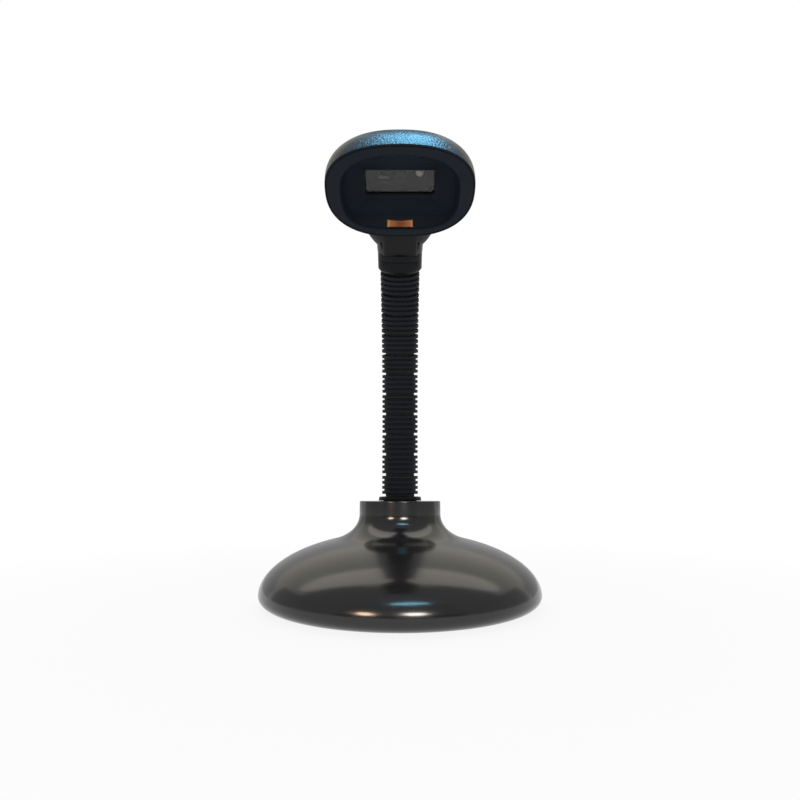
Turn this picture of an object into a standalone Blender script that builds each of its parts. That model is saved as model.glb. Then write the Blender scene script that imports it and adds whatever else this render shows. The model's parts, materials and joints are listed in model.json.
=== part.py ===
"""Barcode scan head on a ribbed gooseneck and a weighted bell base.

Units are metres, +Z is up, the origin is the centre of the base's underside
and the scan head faces -Y. The neck's sections hang on a chain of empties,
one on each bending point, so turning an empty bends the neck.
"""

import math

import bmesh
import bpy
from mathutils import Matrix, Vector

MM = 0.001

# Clearances
FIT = 0.3 * MM
RUNNING_FIT = 0.3 * MM
CUT_OVERRUN = 2.0 * MM

# Base
PAD_INSET = 1.2 * MM
PAD_THICKNESS = 1.3 * MM
PLATE_RADIUS = 61.2 * MM
PLATE_THICKNESS = 2.4 * MM
FOOT_RADIUS = 65.2 * MM
FOOT_HEIGHT = 0.6 * MM
RIM_RADIUS = 73.8 * MM
RIM_HEIGHT = 6.4 * MM
DOME_RISE = 29.8 * MM
CREASE_RADIUS = 36.0 * MM
COVE_SWEEP_DEG = 72.0
RING_RADIUS = 22.3 * MM
RING_DRAFT = 1.0 * MM
RING_EDGE = 0.7 * MM
RING_TOP = 52.6 * MM
RING_WALL = 3.0 * MM
COVE_TOP = 46.0 * MM
BASE_WALL = 2.6 * MM
POST_RADIUS = 3.6 * MM
POST_CIRCLE = 38.0 * MM
POST_COUNT = 3
SCREW_RADIUS = 1.5 * MM
SCREW_HEAD_RADIUS = 3.0 * MM
SCREW_HEAD_HEIGHT = 1.5 * MM
SCREW_LENGTH = 11.0 * MM
WEIGHT_INSET = 4.2 * MM
WEIGHT_BORE = 14.0 * MM
WEIGHT_THICKNESS = 7.5 * MM

# Bushing and nut that hold the gooseneck in the base
FLANGE_RADIUS = 11.9 * MM
FLANGE_TAPER = 0.4 * MM
FLANGE_HEIGHT = 2.1 * MM
SHANK_RADIUS = 9.2 * MM
SHANK_LENGTH = 12.0 * MM
NUT_RADIUS = 13.0 * MM
NUT_HEIGHT = 5.0 * MM

# Gooseneck
NECK_RADIUS = 10.0 * MM
RIB_PITCH = 2.84 * MM
RIB_CREST = 1.2 * MM
RIB_DEPTH = 1.4 * MM
RIBS_PER_SECTION = 4
LOWER_SECTION_COUNT = 6
UPPER_SECTION_COUNT = 5
LOWER_BEND_DEG = 15.6
UPPER_BEND_DEG = 25.6
JOINT_SLOT = 1.24 * MM
CORE_RADIUS = 8.15 * MM
CORE_HALF_LENGTH = 3.0 * MM
CORE_BORE = 4.5 * MM
SLEEVE_BORE = 6.0 * MM
CUP_DEPTH = 3.75 * MM
CUP_SHOULDER = 0.55 * MM

# Collar
FERRULE_RADIUS = 11.5 * MM
FERRULE_NOSE = 10.5 * MM
FERRULE_CHAMFER = 1.3 * MM
FERRULE_LENGTH = 6.9 * MM
LOCK_RING_LENGTH = 3.2 * MM
LOCK_RING_WALL = 2.1 * MM
LOCK_RING_EDGE = 0.25 * MM
FORK_LENGTH = 3.5 * MM
FORK_RADIUS = 11.65 * MM
FORK_FLARE = 0.35 * MM
FORK_TAIL_RADIUS = 5.7 * MM
FORK_TAIL_LENGTH = 1.4 * MM
STEM_RADIUS = 8.7 * MM
STEM_FRONT = 10.5 * MM
STEM_CORNER = 2.5 * MM
STEM_SHOULDER = 4.3 * MM
STEM_THREAD_RADIUS = 6.0 * MM
STEM_NUT_RADIUS = 9.0 * MM
STEM_NUT_HEIGHT = 3.0 * MM
STEM_END = 1.0 * MM

# Scan head, in its own frame: scan axis along -Y, depths measured back from the rim's face
SCAN_AXIS_RISE = 45.9 * MM
HEAD_TIP_DEG = 8.0
RIM_REACH = 21.2 * MM
HEAD_HALF_WIDTH = 34.0 * MM
HEAD_TOP = 18.6 * MM
HEAD_BOTTOM = 21.8 * MM
HEAD_POWER = 2.4
HEAD_CREST_DEPTH = 10.0 * MM
HEAD_CREST_RISE = 2.9 * MM
HEAD_SIDE_SWELL = 0.75 * MM
HEAD_DEPTH = 49.0 * MM
HEAD_TAPER_POWER = 2.0
HEAD_WALL = 1.6 * MM
BEZEL_EDGE = 3.2 * MM
BEZEL_ROUND = 0.8 * MM
BEZEL_SPIGOT = 4.0 * MM
BEZEL_WALL = 1.6 * MM
BOSS_TOP_RADIUS = 19.0 * MM
BOSS_BOTTOM_RADIUS = 12.0 * MM
BOSS_BOTTOM_FRONT = 9.0 * MM
BOSS_HEIGHT = 16.0 * MM
BOSS_FLOOR = 6.0 * MM
BOSS_START_DEG = -50.0
BOSS_FLATTENING = 0.25

# Mouth and window
MOUTH_HALF_WIDTH = 27.0 * MM
MOUTH_TOP = 14.0 * MM
MOUTH_BOTTOM = 17.9 * MM
MOUTH_TOP_POWER = 2.35
MOUTH_BOTTOM_POWER = 3.3
LIP_DEPTH = 6.2 * MM
LIP_HALF_WIDTH = 25.6 * MM
LIP_TOP = 11.4 * MM
LIP_BOTTOM = 13.3 * MM
LIP_TOP_POWER = 2.6
LIP_BOTTOM_POWER = 6.0
FRAME_DEPTH = 16.0 * MM
FRAME_MARGIN = 1.6 * MM
WINDOW_HALF_WIDTH = 16.5 * MM
WINDOW_HALF_HEIGHT = 5.3 * MM
WINDOW_DROP = 1.0 * MM
WINDOW_POWER = 12.0
WINDOW_RECESS = 1.9 * MM
FRAME_WALL = 5.2 * MM
GLASS_THICKNESS = 1.5 * MM
GLASS_OVERLAP = 1.4 * MM

# Indicator light pipe
PIPE_WIDTH = 12.2 * MM
PIPE_HEIGHT = 2.6 * MM
PIPE_DROP = 16.2 * MM
PIPE_PROUD = 0.3 * MM
PIPE_BACK = 9.0 * MM
INDICATOR_WIDTH = 3.0 * MM
INDICATOR_HEIGHT = 2.0 * MM
INDICATOR_LENGTH = 2.2 * MM

# Scan engine and electronics
CHASSIS_HALF_WIDTH = 15.0 * MM
CHASSIS_HALF_HEIGHT = 7.6 * MM
CHASSIS_LENGTH = 10.0 * MM
FLANGE_MARGIN = 2.4 * MM
FLANGE_HALF_HEIGHT = 4.2 * MM
CHASSIS_FLANGE_THICKNESS = 1.6 * MM
CHASSIS_RECESS = 3.0 * MM
CHASSIS_WALL = 1.5 * MM
BARREL_RADIUS = 3.6 * MM
BARREL_LENGTH = 2.6 * MM
LENS_RADIUS = 2.4 * MM
LENS_BULGE = 0.6 * MM
LED_RADIUS = 2.0 * MM
LED_LENGTH = 2.4 * MM
LED_OFFSET = 9.75 * MM
LED_RISE = 2.6 * MM
AIMER_WIDTH = 4.9 * MM
AIMER_HEIGHT = 1.3 * MM
AIMER_LENGTH = 2.0 * MM
AIMER_OFFSET = -7.95 * MM
ENGINE_SCREW_RADIUS = 1.0 * MM
ENGINE_SCREW_HEAD = 1.9 * MM
ENGINE_SCREW_LENGTH = 3.2 * MM
BOARD_HALF_WIDTH = 13.5 * MM
BOARD_SETBACK = 5.4 * MM
BOARD_THICKNESS = 1.2 * MM
BOARD_DROP = 4.0 * MM
BUZZER_RADIUS = 5.0 * MM
BUZZER_HEIGHT = 4.0 * MM
PORT_HALF_WIDTH = 4.6 * MM
PORT_HALF_HEIGHT = 1.7 * MM
PORT_WALL = 0.4 * MM
PORT_LENGTH = 9.0 * MM
PORT_POWER = 4.0

# Facets
BASE_SIDES = 48
NECK_SIDES = 16
COLLAR_SIDES = 32
HEAD_SIDES = 40
SMALL_SIDES = 16

# Heights and lengths that follow from the sizes above
PLATE_BOTTOM = PAD_THICKNESS + FIT
PLATE_TOP = PLATE_BOTTOM + PLATE_THICKNESS
PAD_RADIUS = PLATE_RADIUS - PAD_INSET
WEIGHT_RADIUS = PLATE_RADIUS - WEIGHT_INSET
WEIGHT_BOTTOM = PLATE_TOP + FIT
FLANGE_BOTTOM = RING_TOP + FIT
CUP_RADIUS = CORE_RADIUS + RUNNING_FIT
SECTION_LENGTH = RIBS_PER_SECTION * RIB_PITCH
SECTION_COUNT = LOWER_SECTION_COUNT + UPPER_SECTION_COUNT
RIB_START = (RIB_PITCH - RIB_CREST) / 2
NECK_START = FLANGE_BOTTOM + FLANGE_HEIGHT + RIB_START
LOCK_RING_BOTTOM = FERRULE_LENGTH + FIT
FORK_BOTTOM = LOCK_RING_BOTTOM + LOCK_RING_LENGTH + FIT
FORK_TOP = FORK_BOTTOM + FORK_LENGTH
SLOT_HALF_WIDTH = STEM_RADIUS + FIT
SHELL_FRONT = BEZEL_EDGE + FIT
BOSS_BOTTOM = FORK_TOP + FIT
SHOULDER = BOSS_BOTTOM + STEM_SHOULDER
STEM_THREAD = STEM_THREAD_RADIUS + FIT
GLASS_FRONT = FRAME_DEPTH + WINDOW_RECESS + FIT
GLASS_BACK = GLASS_FRONT + GLASS_THICKNESS
FRAME_BACK = GLASS_BACK + FIT
CHASSIS_FRONT = FRAME_BACK + FIT
CHASSIS_BACK = CHASSIS_FRONT + CHASSIS_LENGTH
ENGINE_SCREW_OFFSET = WINDOW_HALF_WIDTH + GLASS_OVERLAP + FIT + FRAME_WALL / 2
BOARD_FRONT = CHASSIS_BACK + FIT
BOARD_TOP = BOARD_THICKNESS / 2 - BOARD_DROP

# Clear the scene
for old in list(bpy.data.objects):
    bpy.data.objects.remove(old, do_unlink=True)


# Materials and scene helpers
def material(name, colour, roughness, metallic=0.0, alpha=1.0):
    """A Principled material with one colour."""
    made = bpy.data.materials.new(name)
    made.use_nodes = True
    shader = made.node_tree.nodes["Principled BSDF"]
    shader.inputs["Base Color"].default_value = (*colour, 1.0)
    shader.inputs["Roughness"].default_value = roughness
    shader.inputs["Metallic"].default_value = metallic
    shader.inputs["Alpha"].default_value = alpha
    return made


SATIN_BLACK = material("satin black plastic", (0.012, 0.012, 0.013), 0.3)
TEXTURED_BLACK = material("textured black plastic", (0.014, 0.014, 0.015), 0.55)
SLATE = material("slate grey plastic", (0.018, 0.020, 0.023), 0.5)
SLEEVE_BLACK = material("black sleeve", (0.014, 0.015, 0.016), 0.5)
STEEL = material("steel", (0.45, 0.45, 0.46), 0.35, 1.0)
DARK_STEEL = material("blackened steel", (0.03, 0.03, 0.032), 0.45, 1.0)
IRON = material("cast iron", (0.05, 0.05, 0.052), 0.7, 1.0)
RUBBER = material("rubber", (0.012, 0.012, 0.012), 0.85)
AMBER = material("amber acrylic", (0.45, 0.16, 0.03), 0.25)
GLASS = material("smoked glass", (0.05, 0.05, 0.05), 0.05, 0.0, 0.4)
BOARD_GREEN = material("circuit board", (0.02, 0.09, 0.05), 0.5)
LENS_GLASS = material("lens glass", (0.10, 0.10, 0.13), 0.03)
CREAM = material("cream resin", (0.75, 0.68, 0.50), 0.3)


def add(name, mesh, finish, parent=None):
    """Puts a mesh in the scene as a named object, shaded smooth up to a sharp angle."""
    mesh.materials.append(finish)
    mesh.shade_smooth()
    mesh.set_sharp_from_angle(angle=math.radians(30))
    thing = bpy.data.objects.new(name, mesh)
    bpy.context.scene.collection.objects.link(thing)
    thing.parent = parent
    return thing


def empty(name, location, tilt_deg=0.0, parent=None):
    """An empty that carries a frame, tipped forward about X."""
    frame = bpy.data.objects.new(name, None)
    bpy.context.scene.collection.objects.link(frame)
    frame.parent = parent
    frame.location = location
    frame.rotation_euler.x = math.radians(tilt_deg)
    return frame


def helper(thing):
    """Marks an object as a cutter."""
    thing.hide_render = True
    thing.display_type = "WIRE"
    return thing


def boolean(thing, other, operation="DIFFERENCE"):
    """Joins or cuts one object with another."""
    modifier = thing.modifiers.new(operation.lower() + " " + other.name, "BOOLEAN")
    modifier.operation = operation
    modifier.solver = "EXACT"
    modifier.object = helper(other)


# Shapes
def loft(name, rings, finish, parent=None, hollow=False):
    """Skins a row of rings. A hollow loft joins its last ring to its first, any other is capped."""
    mesh = bpy.data.meshes.new(name)
    bm = bmesh.new()
    loops = [[bm.verts.new(point) for point in points] for points in rings]
    pairs = list(zip(loops, loops[1:] + loops[:1])) if hollow else list(zip(loops, loops[1:]))
    for lower, upper in pairs:
        count = len(lower)
        for i in range(count):
            j = (i + 1) % count
            bm.faces.new((lower[i], lower[j], upper[j], upper[i]))
    if not hollow:
        bm.faces.new(loops[0])
        bm.faces.new(loops[-1])
    bmesh.ops.recalc_face_normals(bm, faces=bm.faces)
    bm.to_mesh(mesh)
    bm.free()
    return add(name, mesh, finish, parent)


def circle(radius, height, sides):
    """A level ring of points."""
    turns = [math.tau * (i + 0.5) / sides for i in range(sides)]
    return [Vector((radius * math.cos(a), radius * math.sin(a), height)) for a in turns]


def turned(name, profile, finish, parent=None, sides=SMALL_SIDES, hollow=False):
    """A turned piece from a profile of radius and height pairs."""
    rings = [circle(radius, height, sides) for radius, height in profile]
    return loft(name, rings, finish, parent, hollow)


def ellipse_arc(centre, semi_axes, start_deg, end_deg, steps):
    """Points of radius and height along an ellipse, both ends included."""
    angles = [math.radians(start_deg + (end_deg - start_deg) * i / steps) for i in range(steps + 1)]
    return [
        (centre[0] + semi_axes[0] * math.cos(a), centre[1] + semi_axes[1] * math.sin(a)) for a in angles
    ]


def superellipse(half_width, top, bottom, depth, powers, lift=0.0, sides=HEAD_SIDES):
    """A ring across the scan axis: a rounded outline with its own height and power above and below."""
    points = []
    for i in range(sides):
        a = math.tau * (i + 0.5) / sides
        across, up = math.cos(a), math.sin(a)
        power = powers[0] if up >= 0 else powers[1]
        reach = (abs(across) ** power + abs(up) ** power) ** (-1 / power)
        height = top if up >= 0 else bottom
        points.append(Vector((half_width * across * reach, depth - RIM_REACH, lift + height * up * reach)))
    return points


def block(name, low, high, finish, parent=None):
    """A plain block between two corners."""
    corners = [(low.x, low.y), (high.x, low.y), (high.x, high.y), (low.x, high.y)]
    rings = [[Vector((x, y, z)) for x, y in corners] for z in (low.z, high.z)]
    return loft(name, rings, finish, parent)


def along_scan_axis(thing, offset, depth, rise):
    """Turns a piece made along +Z so that it points along the scan axis."""
    turn = Matrix.Rotation(math.radians(90), 4, "X")
    thing.data.transform(Matrix.Translation((offset, depth - RIM_REACH, rise)) @ turn)
    return thing


def on_circle(index, count, radius, height):
    """A place on a circle round the base's axis, the first one at the back."""
    a = math.tau * index / count + math.pi / 2
    return Vector((radius * math.cos(a), radius * math.sin(a), height))


# Base
def dome_start(half_width):
    """The angle at which the dome's ellipse reaches the crease."""
    return math.degrees(math.acos(CREASE_RADIUS / half_width))


def base_cove(wall, steps):
    """The cove from the dome's crease up to the ring, or the same a wall's thickness inside it."""
    crease_height = RIM_HEIGHT + DOME_RISE * math.sqrt(1 - (CREASE_RADIUS / RIM_RADIUS) ** 2)
    side = RING_RADIUS + RING_DRAFT
    sweep = math.radians(COVE_SWEEP_DEG)
    width = (CREASE_RADIUS - side) / (1 - math.cos(sweep))
    height = (COVE_TOP - crease_height) / math.sin(sweep)
    return ellipse_arc(
        (side + width, COVE_TOP), (width + wall, height + wall), 180 + COVE_SWEEP_DEG, 180, steps
    )


def base_outline():
    """The bell's outside from foot to ring: rounded rim, dome, cove and drafted ring."""
    rim = ellipse_arc(
        (FOOT_RADIUS, RIM_HEIGHT), (RIM_RADIUS - FOOT_RADIUS, RIM_HEIGHT - FOOT_HEIGHT), -90, 0, 4
    )
    dome = ellipse_arc((0, RIM_HEIGHT), (RIM_RADIUS, DOME_RISE), 0, dome_start(RIM_RADIUS), 6)
    cove = base_cove(0.0, 5)
    ring = [(RING_RADIUS, RING_TOP - RING_EDGE), (RING_RADIUS - RING_EDGE, RING_TOP)]
    return rim + dome[1:] + cove[1:] + ring


def base_cavity():
    """The inside of the bell, open at the foot for the bottom plate."""
    opening = PLATE_RADIUS + FIT
    inner = RIM_RADIUS - BASE_WALL
    dome = ellipse_arc((0, RIM_HEIGHT), (inner, DOME_RISE - BASE_WALL), 12, dome_start(inner), 4)
    return [
        (opening, -CUT_OVERRUN),
        (opening, WEIGHT_BOTTOM),
        *dome[:-1],
        *base_cove(BASE_WALL, 4),
        (RING_RADIUS - BASE_WALL, RING_TOP - RING_WALL),
    ]


def screw_profile(extra):
    """A countersunk screw from its head up, grown by a clearance."""
    return [
        (SCREW_HEAD_RADIUS + extra, 0),
        (SCREW_RADIUS + extra, SCREW_HEAD_HEIGHT),
        (SCREW_RADIUS + extra, SCREW_LENGTH + extra),
    ]


def build_base():
    """Bell shell, weight, bottom plate, screws and rubber pad."""
    shell = turned("base_shell", base_outline(), SATIN_BLACK, sides=BASE_SIDES)
    cavity = turned("base cavity", base_cavity(), SATIN_BLACK, sides=BASE_SIDES)
    weight = turned(
        "base_weight",
        [
            (WEIGHT_RADIUS, WEIGHT_BOTTOM),
            (WEIGHT_RADIUS, WEIGHT_BOTTOM + WEIGHT_THICKNESS),
            (WEIGHT_BORE, WEIGHT_BOTTOM + WEIGHT_THICKNESS),
            (WEIGHT_BORE, WEIGHT_BOTTOM),
        ],
        IRON,
        sides=BASE_SIDES,
        hollow=True,
    )
    plate_edge = [(PLATE_RADIUS, PLATE_BOTTOM), (PLATE_RADIUS, PLATE_TOP)]
    plate = turned("bottom_plate", plate_edge, DARK_STEEL, sides=BASE_SIDES)
    turned("rubber_pad", [(PAD_RADIUS, 0), (PAD_RADIUS, PAD_THICKNESS)], RUBBER, sides=BASE_SIDES)
    for i in range(POST_COUNT):
        foot = on_circle(i, POST_COUNT, POST_CIRCLE, WEIGHT_BOTTOM)
        post = turned(f"post {i}", [(POST_RADIUS, 0), (POST_RADIUS, RING_TOP)], SATIN_BLACK)
        post.location = foot
        boolean(cavity, post)
        post_hole = turned(
            f"post hole {i}",
            [(POST_RADIUS + FIT, -CUT_OVERRUN), (POST_RADIUS + FIT, WEIGHT_THICKNESS + CUT_OVERRUN)],
            IRON,
        )
        post_hole.location = foot
        boolean(weight, post_hole)
        seat = on_circle(i, POST_COUNT, POST_CIRCLE, PLATE_BOTTOM)
        screw = turned(f"plate_screw_{i + 1}", screw_profile(0.0), STEEL)
        screw.location = seat
        screw_hole = turned(f"screw hole {i}", screw_profile(FIT), STEEL)
        screw_hole.location = seat - Vector((0, 0, FIT / 2))
        boolean(plate, screw_hole)
        pilot = turned(
            f"pilot hole {i}",
            [(SCREW_RADIUS + FIT, -CUT_OVERRUN), (SCREW_RADIUS + FIT, SCREW_LENGTH + CUT_OVERRUN)],
            STEEL,
        )
        pilot.location = seat
        boolean(cavity, pilot, "UNION")
    boolean(shell, cavity)
    bore = SHANK_RADIUS + FIT
    neck_bore = turned(
        "neck bore", [(bore, RING_TOP - RING_WALL - CUT_OVERRUN), (bore, RING_TOP + CUT_OVERRUN)], STEEL,
        sides=COLLAR_SIDES,
    )
    boolean(shell, neck_bore)


# Gooseneck
def cup_radius(height):
    """The radius of a ball cup at a height above or below its centre."""
    return math.sqrt(CUP_RADIUS**2 - height**2)


def cup_profile():
    """A ball cup that opens downwards at its bending point, from its lip up to the bore."""
    lip = JOINT_SLOT / 2
    middle = (lip + CUP_DEPTH) / 2
    return [
        (cup_radius(lip), lip),
        (cup_radius(middle), middle),
        (cup_radius(CUP_DEPTH), CUP_DEPTH),
        (SLEEVE_BORE, CUP_DEPTH + CUP_SHOULDER),
    ]


def sleeve_profile():
    """One section of ribbed sleeve: ribs up the outside, then a cup at each end of the bore."""
    ribs = []
    for i in range(RIBS_PER_SECTION):
        crest = i * RIB_PITCH + RIB_START
        ribs += [(NECK_RADIUS, crest), (NECK_RADIUS, crest + RIB_CREST)]
        if i < RIBS_PER_SECTION - 1:
            ribs.append((NECK_RADIUS - RIB_DEPTH, (i + 1) * RIB_PITCH))
    lower_cup = cup_profile()
    upper_cup = [(radius, SECTION_LENGTH - height) for radius, height in lower_cup]
    return ribs + upper_cup + lower_cup[::-1]


def bent(profile, bend_deg, length):
    """Rings of a profile that follows an arc leaning forward, towards -Y."""
    rings = []
    for radius, height in profile:
        lean = math.radians(bend_deg) * height / length
        sweep = length / math.radians(bend_deg)
        centre = Vector((0, sweep * (math.cos(lean) - 1), sweep * math.sin(lean)))
        turn = Matrix.Rotation(lean, 3, "X")
        rings.append([centre + turn @ point for point in circle(radius, 0, NECK_SIDES)])
    return rings


def section_bend(index):
    """How far one section leans, in degrees."""
    if index < LOWER_SECTION_COUNT:
        return LOWER_BEND_DEG / LOWER_SECTION_COUNT
    return UPPER_BEND_DEG / UPPER_SECTION_COUNT


def core_profile():
    """A steel core link: a ball belt with a bore."""
    belt = math.sqrt(CORE_RADIUS**2 - CORE_HALF_LENGTH**2)
    return [
        (belt, -CORE_HALF_LENGTH),
        (CORE_RADIUS, 0),
        (belt, CORE_HALF_LENGTH),
        (CORE_BORE, CORE_HALF_LENGTH),
        (CORE_BORE, -CORE_HALF_LENGTH),
    ]


def build_neck():
    """Bushing and nut, then links and ribbed sections up the chain of empties; gives the last empty."""
    cup = [(radius, NECK_START - height) for radius, height in cup_profile()]
    flange_top = FLANGE_BOTTOM + FLANGE_HEIGHT
    shank_end = FLANGE_BOTTOM - SHANK_LENGTH
    turned(
        "neck_bushing",
        [
            (SHANK_RADIUS, shank_end),
            (SHANK_RADIUS, FLANGE_BOTTOM),
            (FLANGE_RADIUS, FLANGE_BOTTOM),
            (FLANGE_RADIUS - FLANGE_TAPER, flange_top),
            *cup,
            (SLEEVE_BORE, shank_end),
        ],
        SATIN_BLACK,
        sides=NECK_SIDES,
        hollow=True,
    )
    nut_top = RING_TOP - RING_WALL - FIT
    nut = turned(
        "neck_nut", [(NUT_RADIUS, nut_top - NUT_HEIGHT), (NUT_RADIUS, nut_top)], STEEL, sides=6
    )
    thread = SHANK_RADIUS + FIT
    nut_bore = turned(
        "nut bore", [(thread, nut_top - NUT_HEIGHT - CUT_OVERRUN), (thread, nut_top + CUT_OVERRUN)], STEEL,
        sides=COLLAR_SIDES,
    )
    boolean(nut, nut_bore)
    joint = empty("neck_joint_00", (0, 0, NECK_START))
    for i in range(SECTION_COUNT):
        turned(f"core_link_{i + 1:02d}", core_profile(), DARK_STEEL, joint, NECK_SIDES, hollow=True)
        bend = section_bend(i)
        loft(
            f"sleeve_section_{i + 1:02d}",
            bent(sleeve_profile(), bend, SECTION_LENGTH),
            SLEEVE_BLACK,
            joint,
            hollow=True,
        )
        sweep = SECTION_LENGTH / math.radians(bend)
        lean = math.radians(bend)
        end = (0, sweep * (math.cos(lean) - 1), sweep * math.sin(lean))
        joint = empty(f"neck_joint_{i + 1:02d}", end, bend, joint)
    turned(f"core_link_{SECTION_COUNT + 1:02d}", core_profile(), DARK_STEEL, joint, NECK_SIDES, hollow=True)
    return joint


# Collar
def stem_ring(height, extra=0.0):
    """The stem's section in the fork: round at the back, square with rounded corners at the front."""
    half_width = STEM_RADIUS + extra
    middle = half_width - STEM_CORNER
    front = STEM_CORNER - STEM_FRONT - extra
    corner = (STEM_CORNER, STEM_CORNER)
    outline = ellipse_arc((0, 0), (half_width, half_width), 0, 180, 12)
    outline += ellipse_arc((-middle, front), corner, 180, 270, 3)
    outline += ellipse_arc((middle, front), corner, 270, 360, 3)
    return [Vector((x, y, height)) for x, y in outline]


def thread_ring(height, extra=0.0):
    """The stem's threaded end, with as many points as its section in the fork."""
    reach = STEM_THREAD_RADIUS + extra
    return [Vector((*(reach * point.xy.normalized()), height)) for point in stem_ring(height)]


def build_collar(frame):
    """Ferrule over the last link, lock ring, fork open to the front, and the head's stem in it."""
    spigot = FERRULE_RADIUS - LOCK_RING_WALL - FIT
    turned(
        "neck_ferrule",
        [
            (FERRULE_NOSE, RIB_START),
            (FERRULE_RADIUS, RIB_START + FERRULE_CHAMFER),
            (FERRULE_RADIUS, FERRULE_LENGTH),
            (SLEEVE_BORE, FERRULE_LENGTH),
            *cup_profile()[::-1],
        ],
        SATIN_BLACK,
        frame,
        NECK_SIDES,
        hollow=True,
    )
    ring_top = LOCK_RING_BOTTOM + LOCK_RING_LENGTH
    turned(
        "lock_ring",
        [
            (FERRULE_RADIUS - LOCK_RING_EDGE, LOCK_RING_BOTTOM),
            (FERRULE_RADIUS, LOCK_RING_BOTTOM + LOCK_RING_EDGE),
            (FERRULE_RADIUS, ring_top - LOCK_RING_EDGE),
            (FERRULE_RADIUS - LOCK_RING_EDGE, ring_top),
            (spigot + FIT, ring_top),
            (spigot + FIT, LOCK_RING_BOTTOM),
        ],
        SATIN_BLACK,
        frame,
        COLLAR_SIDES,
        hollow=True,
    )
    fork = turned(
        "stem_fork",
        [
            (FORK_TAIL_RADIUS, LOCK_RING_BOTTOM - FORK_TAIL_LENGTH),
            (FORK_TAIL_RADIUS, LOCK_RING_BOTTOM),
            (spigot, LOCK_RING_BOTTOM),
            (spigot, FORK_BOTTOM),
            (FORK_RADIUS, FORK_BOTTOM),
            (FORK_RADIUS + FORK_FLARE, FORK_TOP),
        ],
        SATIN_BLACK,
        frame,
        COLLAR_SIDES,
    )
    slot_round = turned(
        "fork slot back",
        [(SLOT_HALF_WIDTH, FORK_BOTTOM), (SLOT_HALF_WIDTH, FORK_TOP + CUT_OVERRUN)],
        SATIN_BLACK,
        frame,
        COLLAR_SIDES,
    )
    slot_front = block(
        "fork slot front",
        Vector((-SLOT_HALF_WIDTH, -FORK_RADIUS - CUT_OVERRUN, FORK_BOTTOM)),
        Vector((SLOT_HALF_WIDTH, 0, FORK_TOP + CUT_OVERRUN)),
        SATIN_BLACK,
        frame,
    )
    boolean(fork, slot_round)
    boolean(fork, slot_front)
    nut_bottom = BOSS_BOTTOM + BOSS_FLOOR + FIT
    nut_top = nut_bottom + STEM_NUT_HEIGHT
    stem_rings = [
        stem_ring(FORK_BOTTOM + FIT),
        stem_ring(SHOULDER),
        thread_ring(SHOULDER),
        thread_ring(nut_top + STEM_END),
    ]
    loft("head_stem", stem_rings, SATIN_BLACK, frame)
    nut = turned("stem_nut", [(STEM_NUT_RADIUS, nut_bottom), (STEM_NUT_RADIUS, nut_top)], STEEL, frame, 6)
    bore = turned(
        "stem nut bore",
        [(STEM_THREAD, nut_bottom - CUT_OVERRUN), (STEM_THREAD, nut_top + CUT_OVERRUN)],
        STEEL,
        frame,
        COLLAR_SIDES,
    )
    boolean(nut, bore)


# Scan head
def head_ring(depth, inset=0.0):
    """The head's outline at a depth: it swells to a crest, then closes to a rounded back."""
    if depth < HEAD_CREST_DEPTH:
        swell = math.sin(math.pi / 2 * depth / HEAD_CREST_DEPTH)
        close = 1.0
    else:
        swell = 1.0
        share = (depth - HEAD_CREST_DEPTH) / (HEAD_DEPTH - HEAD_CREST_DEPTH)
        close = (1 - share**HEAD_TAPER_POWER) ** (1 / HEAD_TAPER_POWER)
    return superellipse(
        (HEAD_HALF_WIDTH + HEAD_SIDE_SWELL * swell) * close - inset,
        (HEAD_TOP + HEAD_CREST_RISE * swell) * close - inset,
        HEAD_BOTTOM * close - inset,
        depth,
        (HEAD_POWER, HEAD_POWER),
    )


def shell_depths(end, steps):
    """Depths up to the crest, then on to the rounded back, where they crowd together."""
    crest = HEAD_CREST_DEPTH
    back = [crest + (end - crest) * math.sin(math.pi / 2 * i / steps) for i in range(steps + 1)]
    return [SHELL_FRONT, (SHELL_FRONT + crest) / 2, *back]


def boss_rings():
    """The boss under the head: as wide as the fork below, wider above, and flatter in front."""
    start = math.radians(BOSS_START_DEG)
    width = (BOSS_TOP_RADIUS - BOSS_BOTTOM_RADIUS) / (1 - math.cos(start))
    height = BOSS_HEIGHT / -math.sin(start)
    middle = (BOSS_TOP_RADIUS - width, BOSS_BOTTOM + BOSS_HEIGHT)
    rings = []
    for radius, level in ellipse_arc(middle, (width, height), BOSS_START_DEG, 0, 5):
        growth = (radius - BOSS_BOTTOM_RADIUS) * BOSS_FLATTENING
        front = (BOSS_BOTTOM_FRONT + growth) / radius
        back = (BOSS_BOTTOM_RADIUS + growth) / radius
        ring = circle(radius, level, COLLAR_SIDES)
        rings.append([Vector((p.x, p.y * (front if p.y < 0 else back), p.z)) for p in ring])
    return rings


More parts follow.
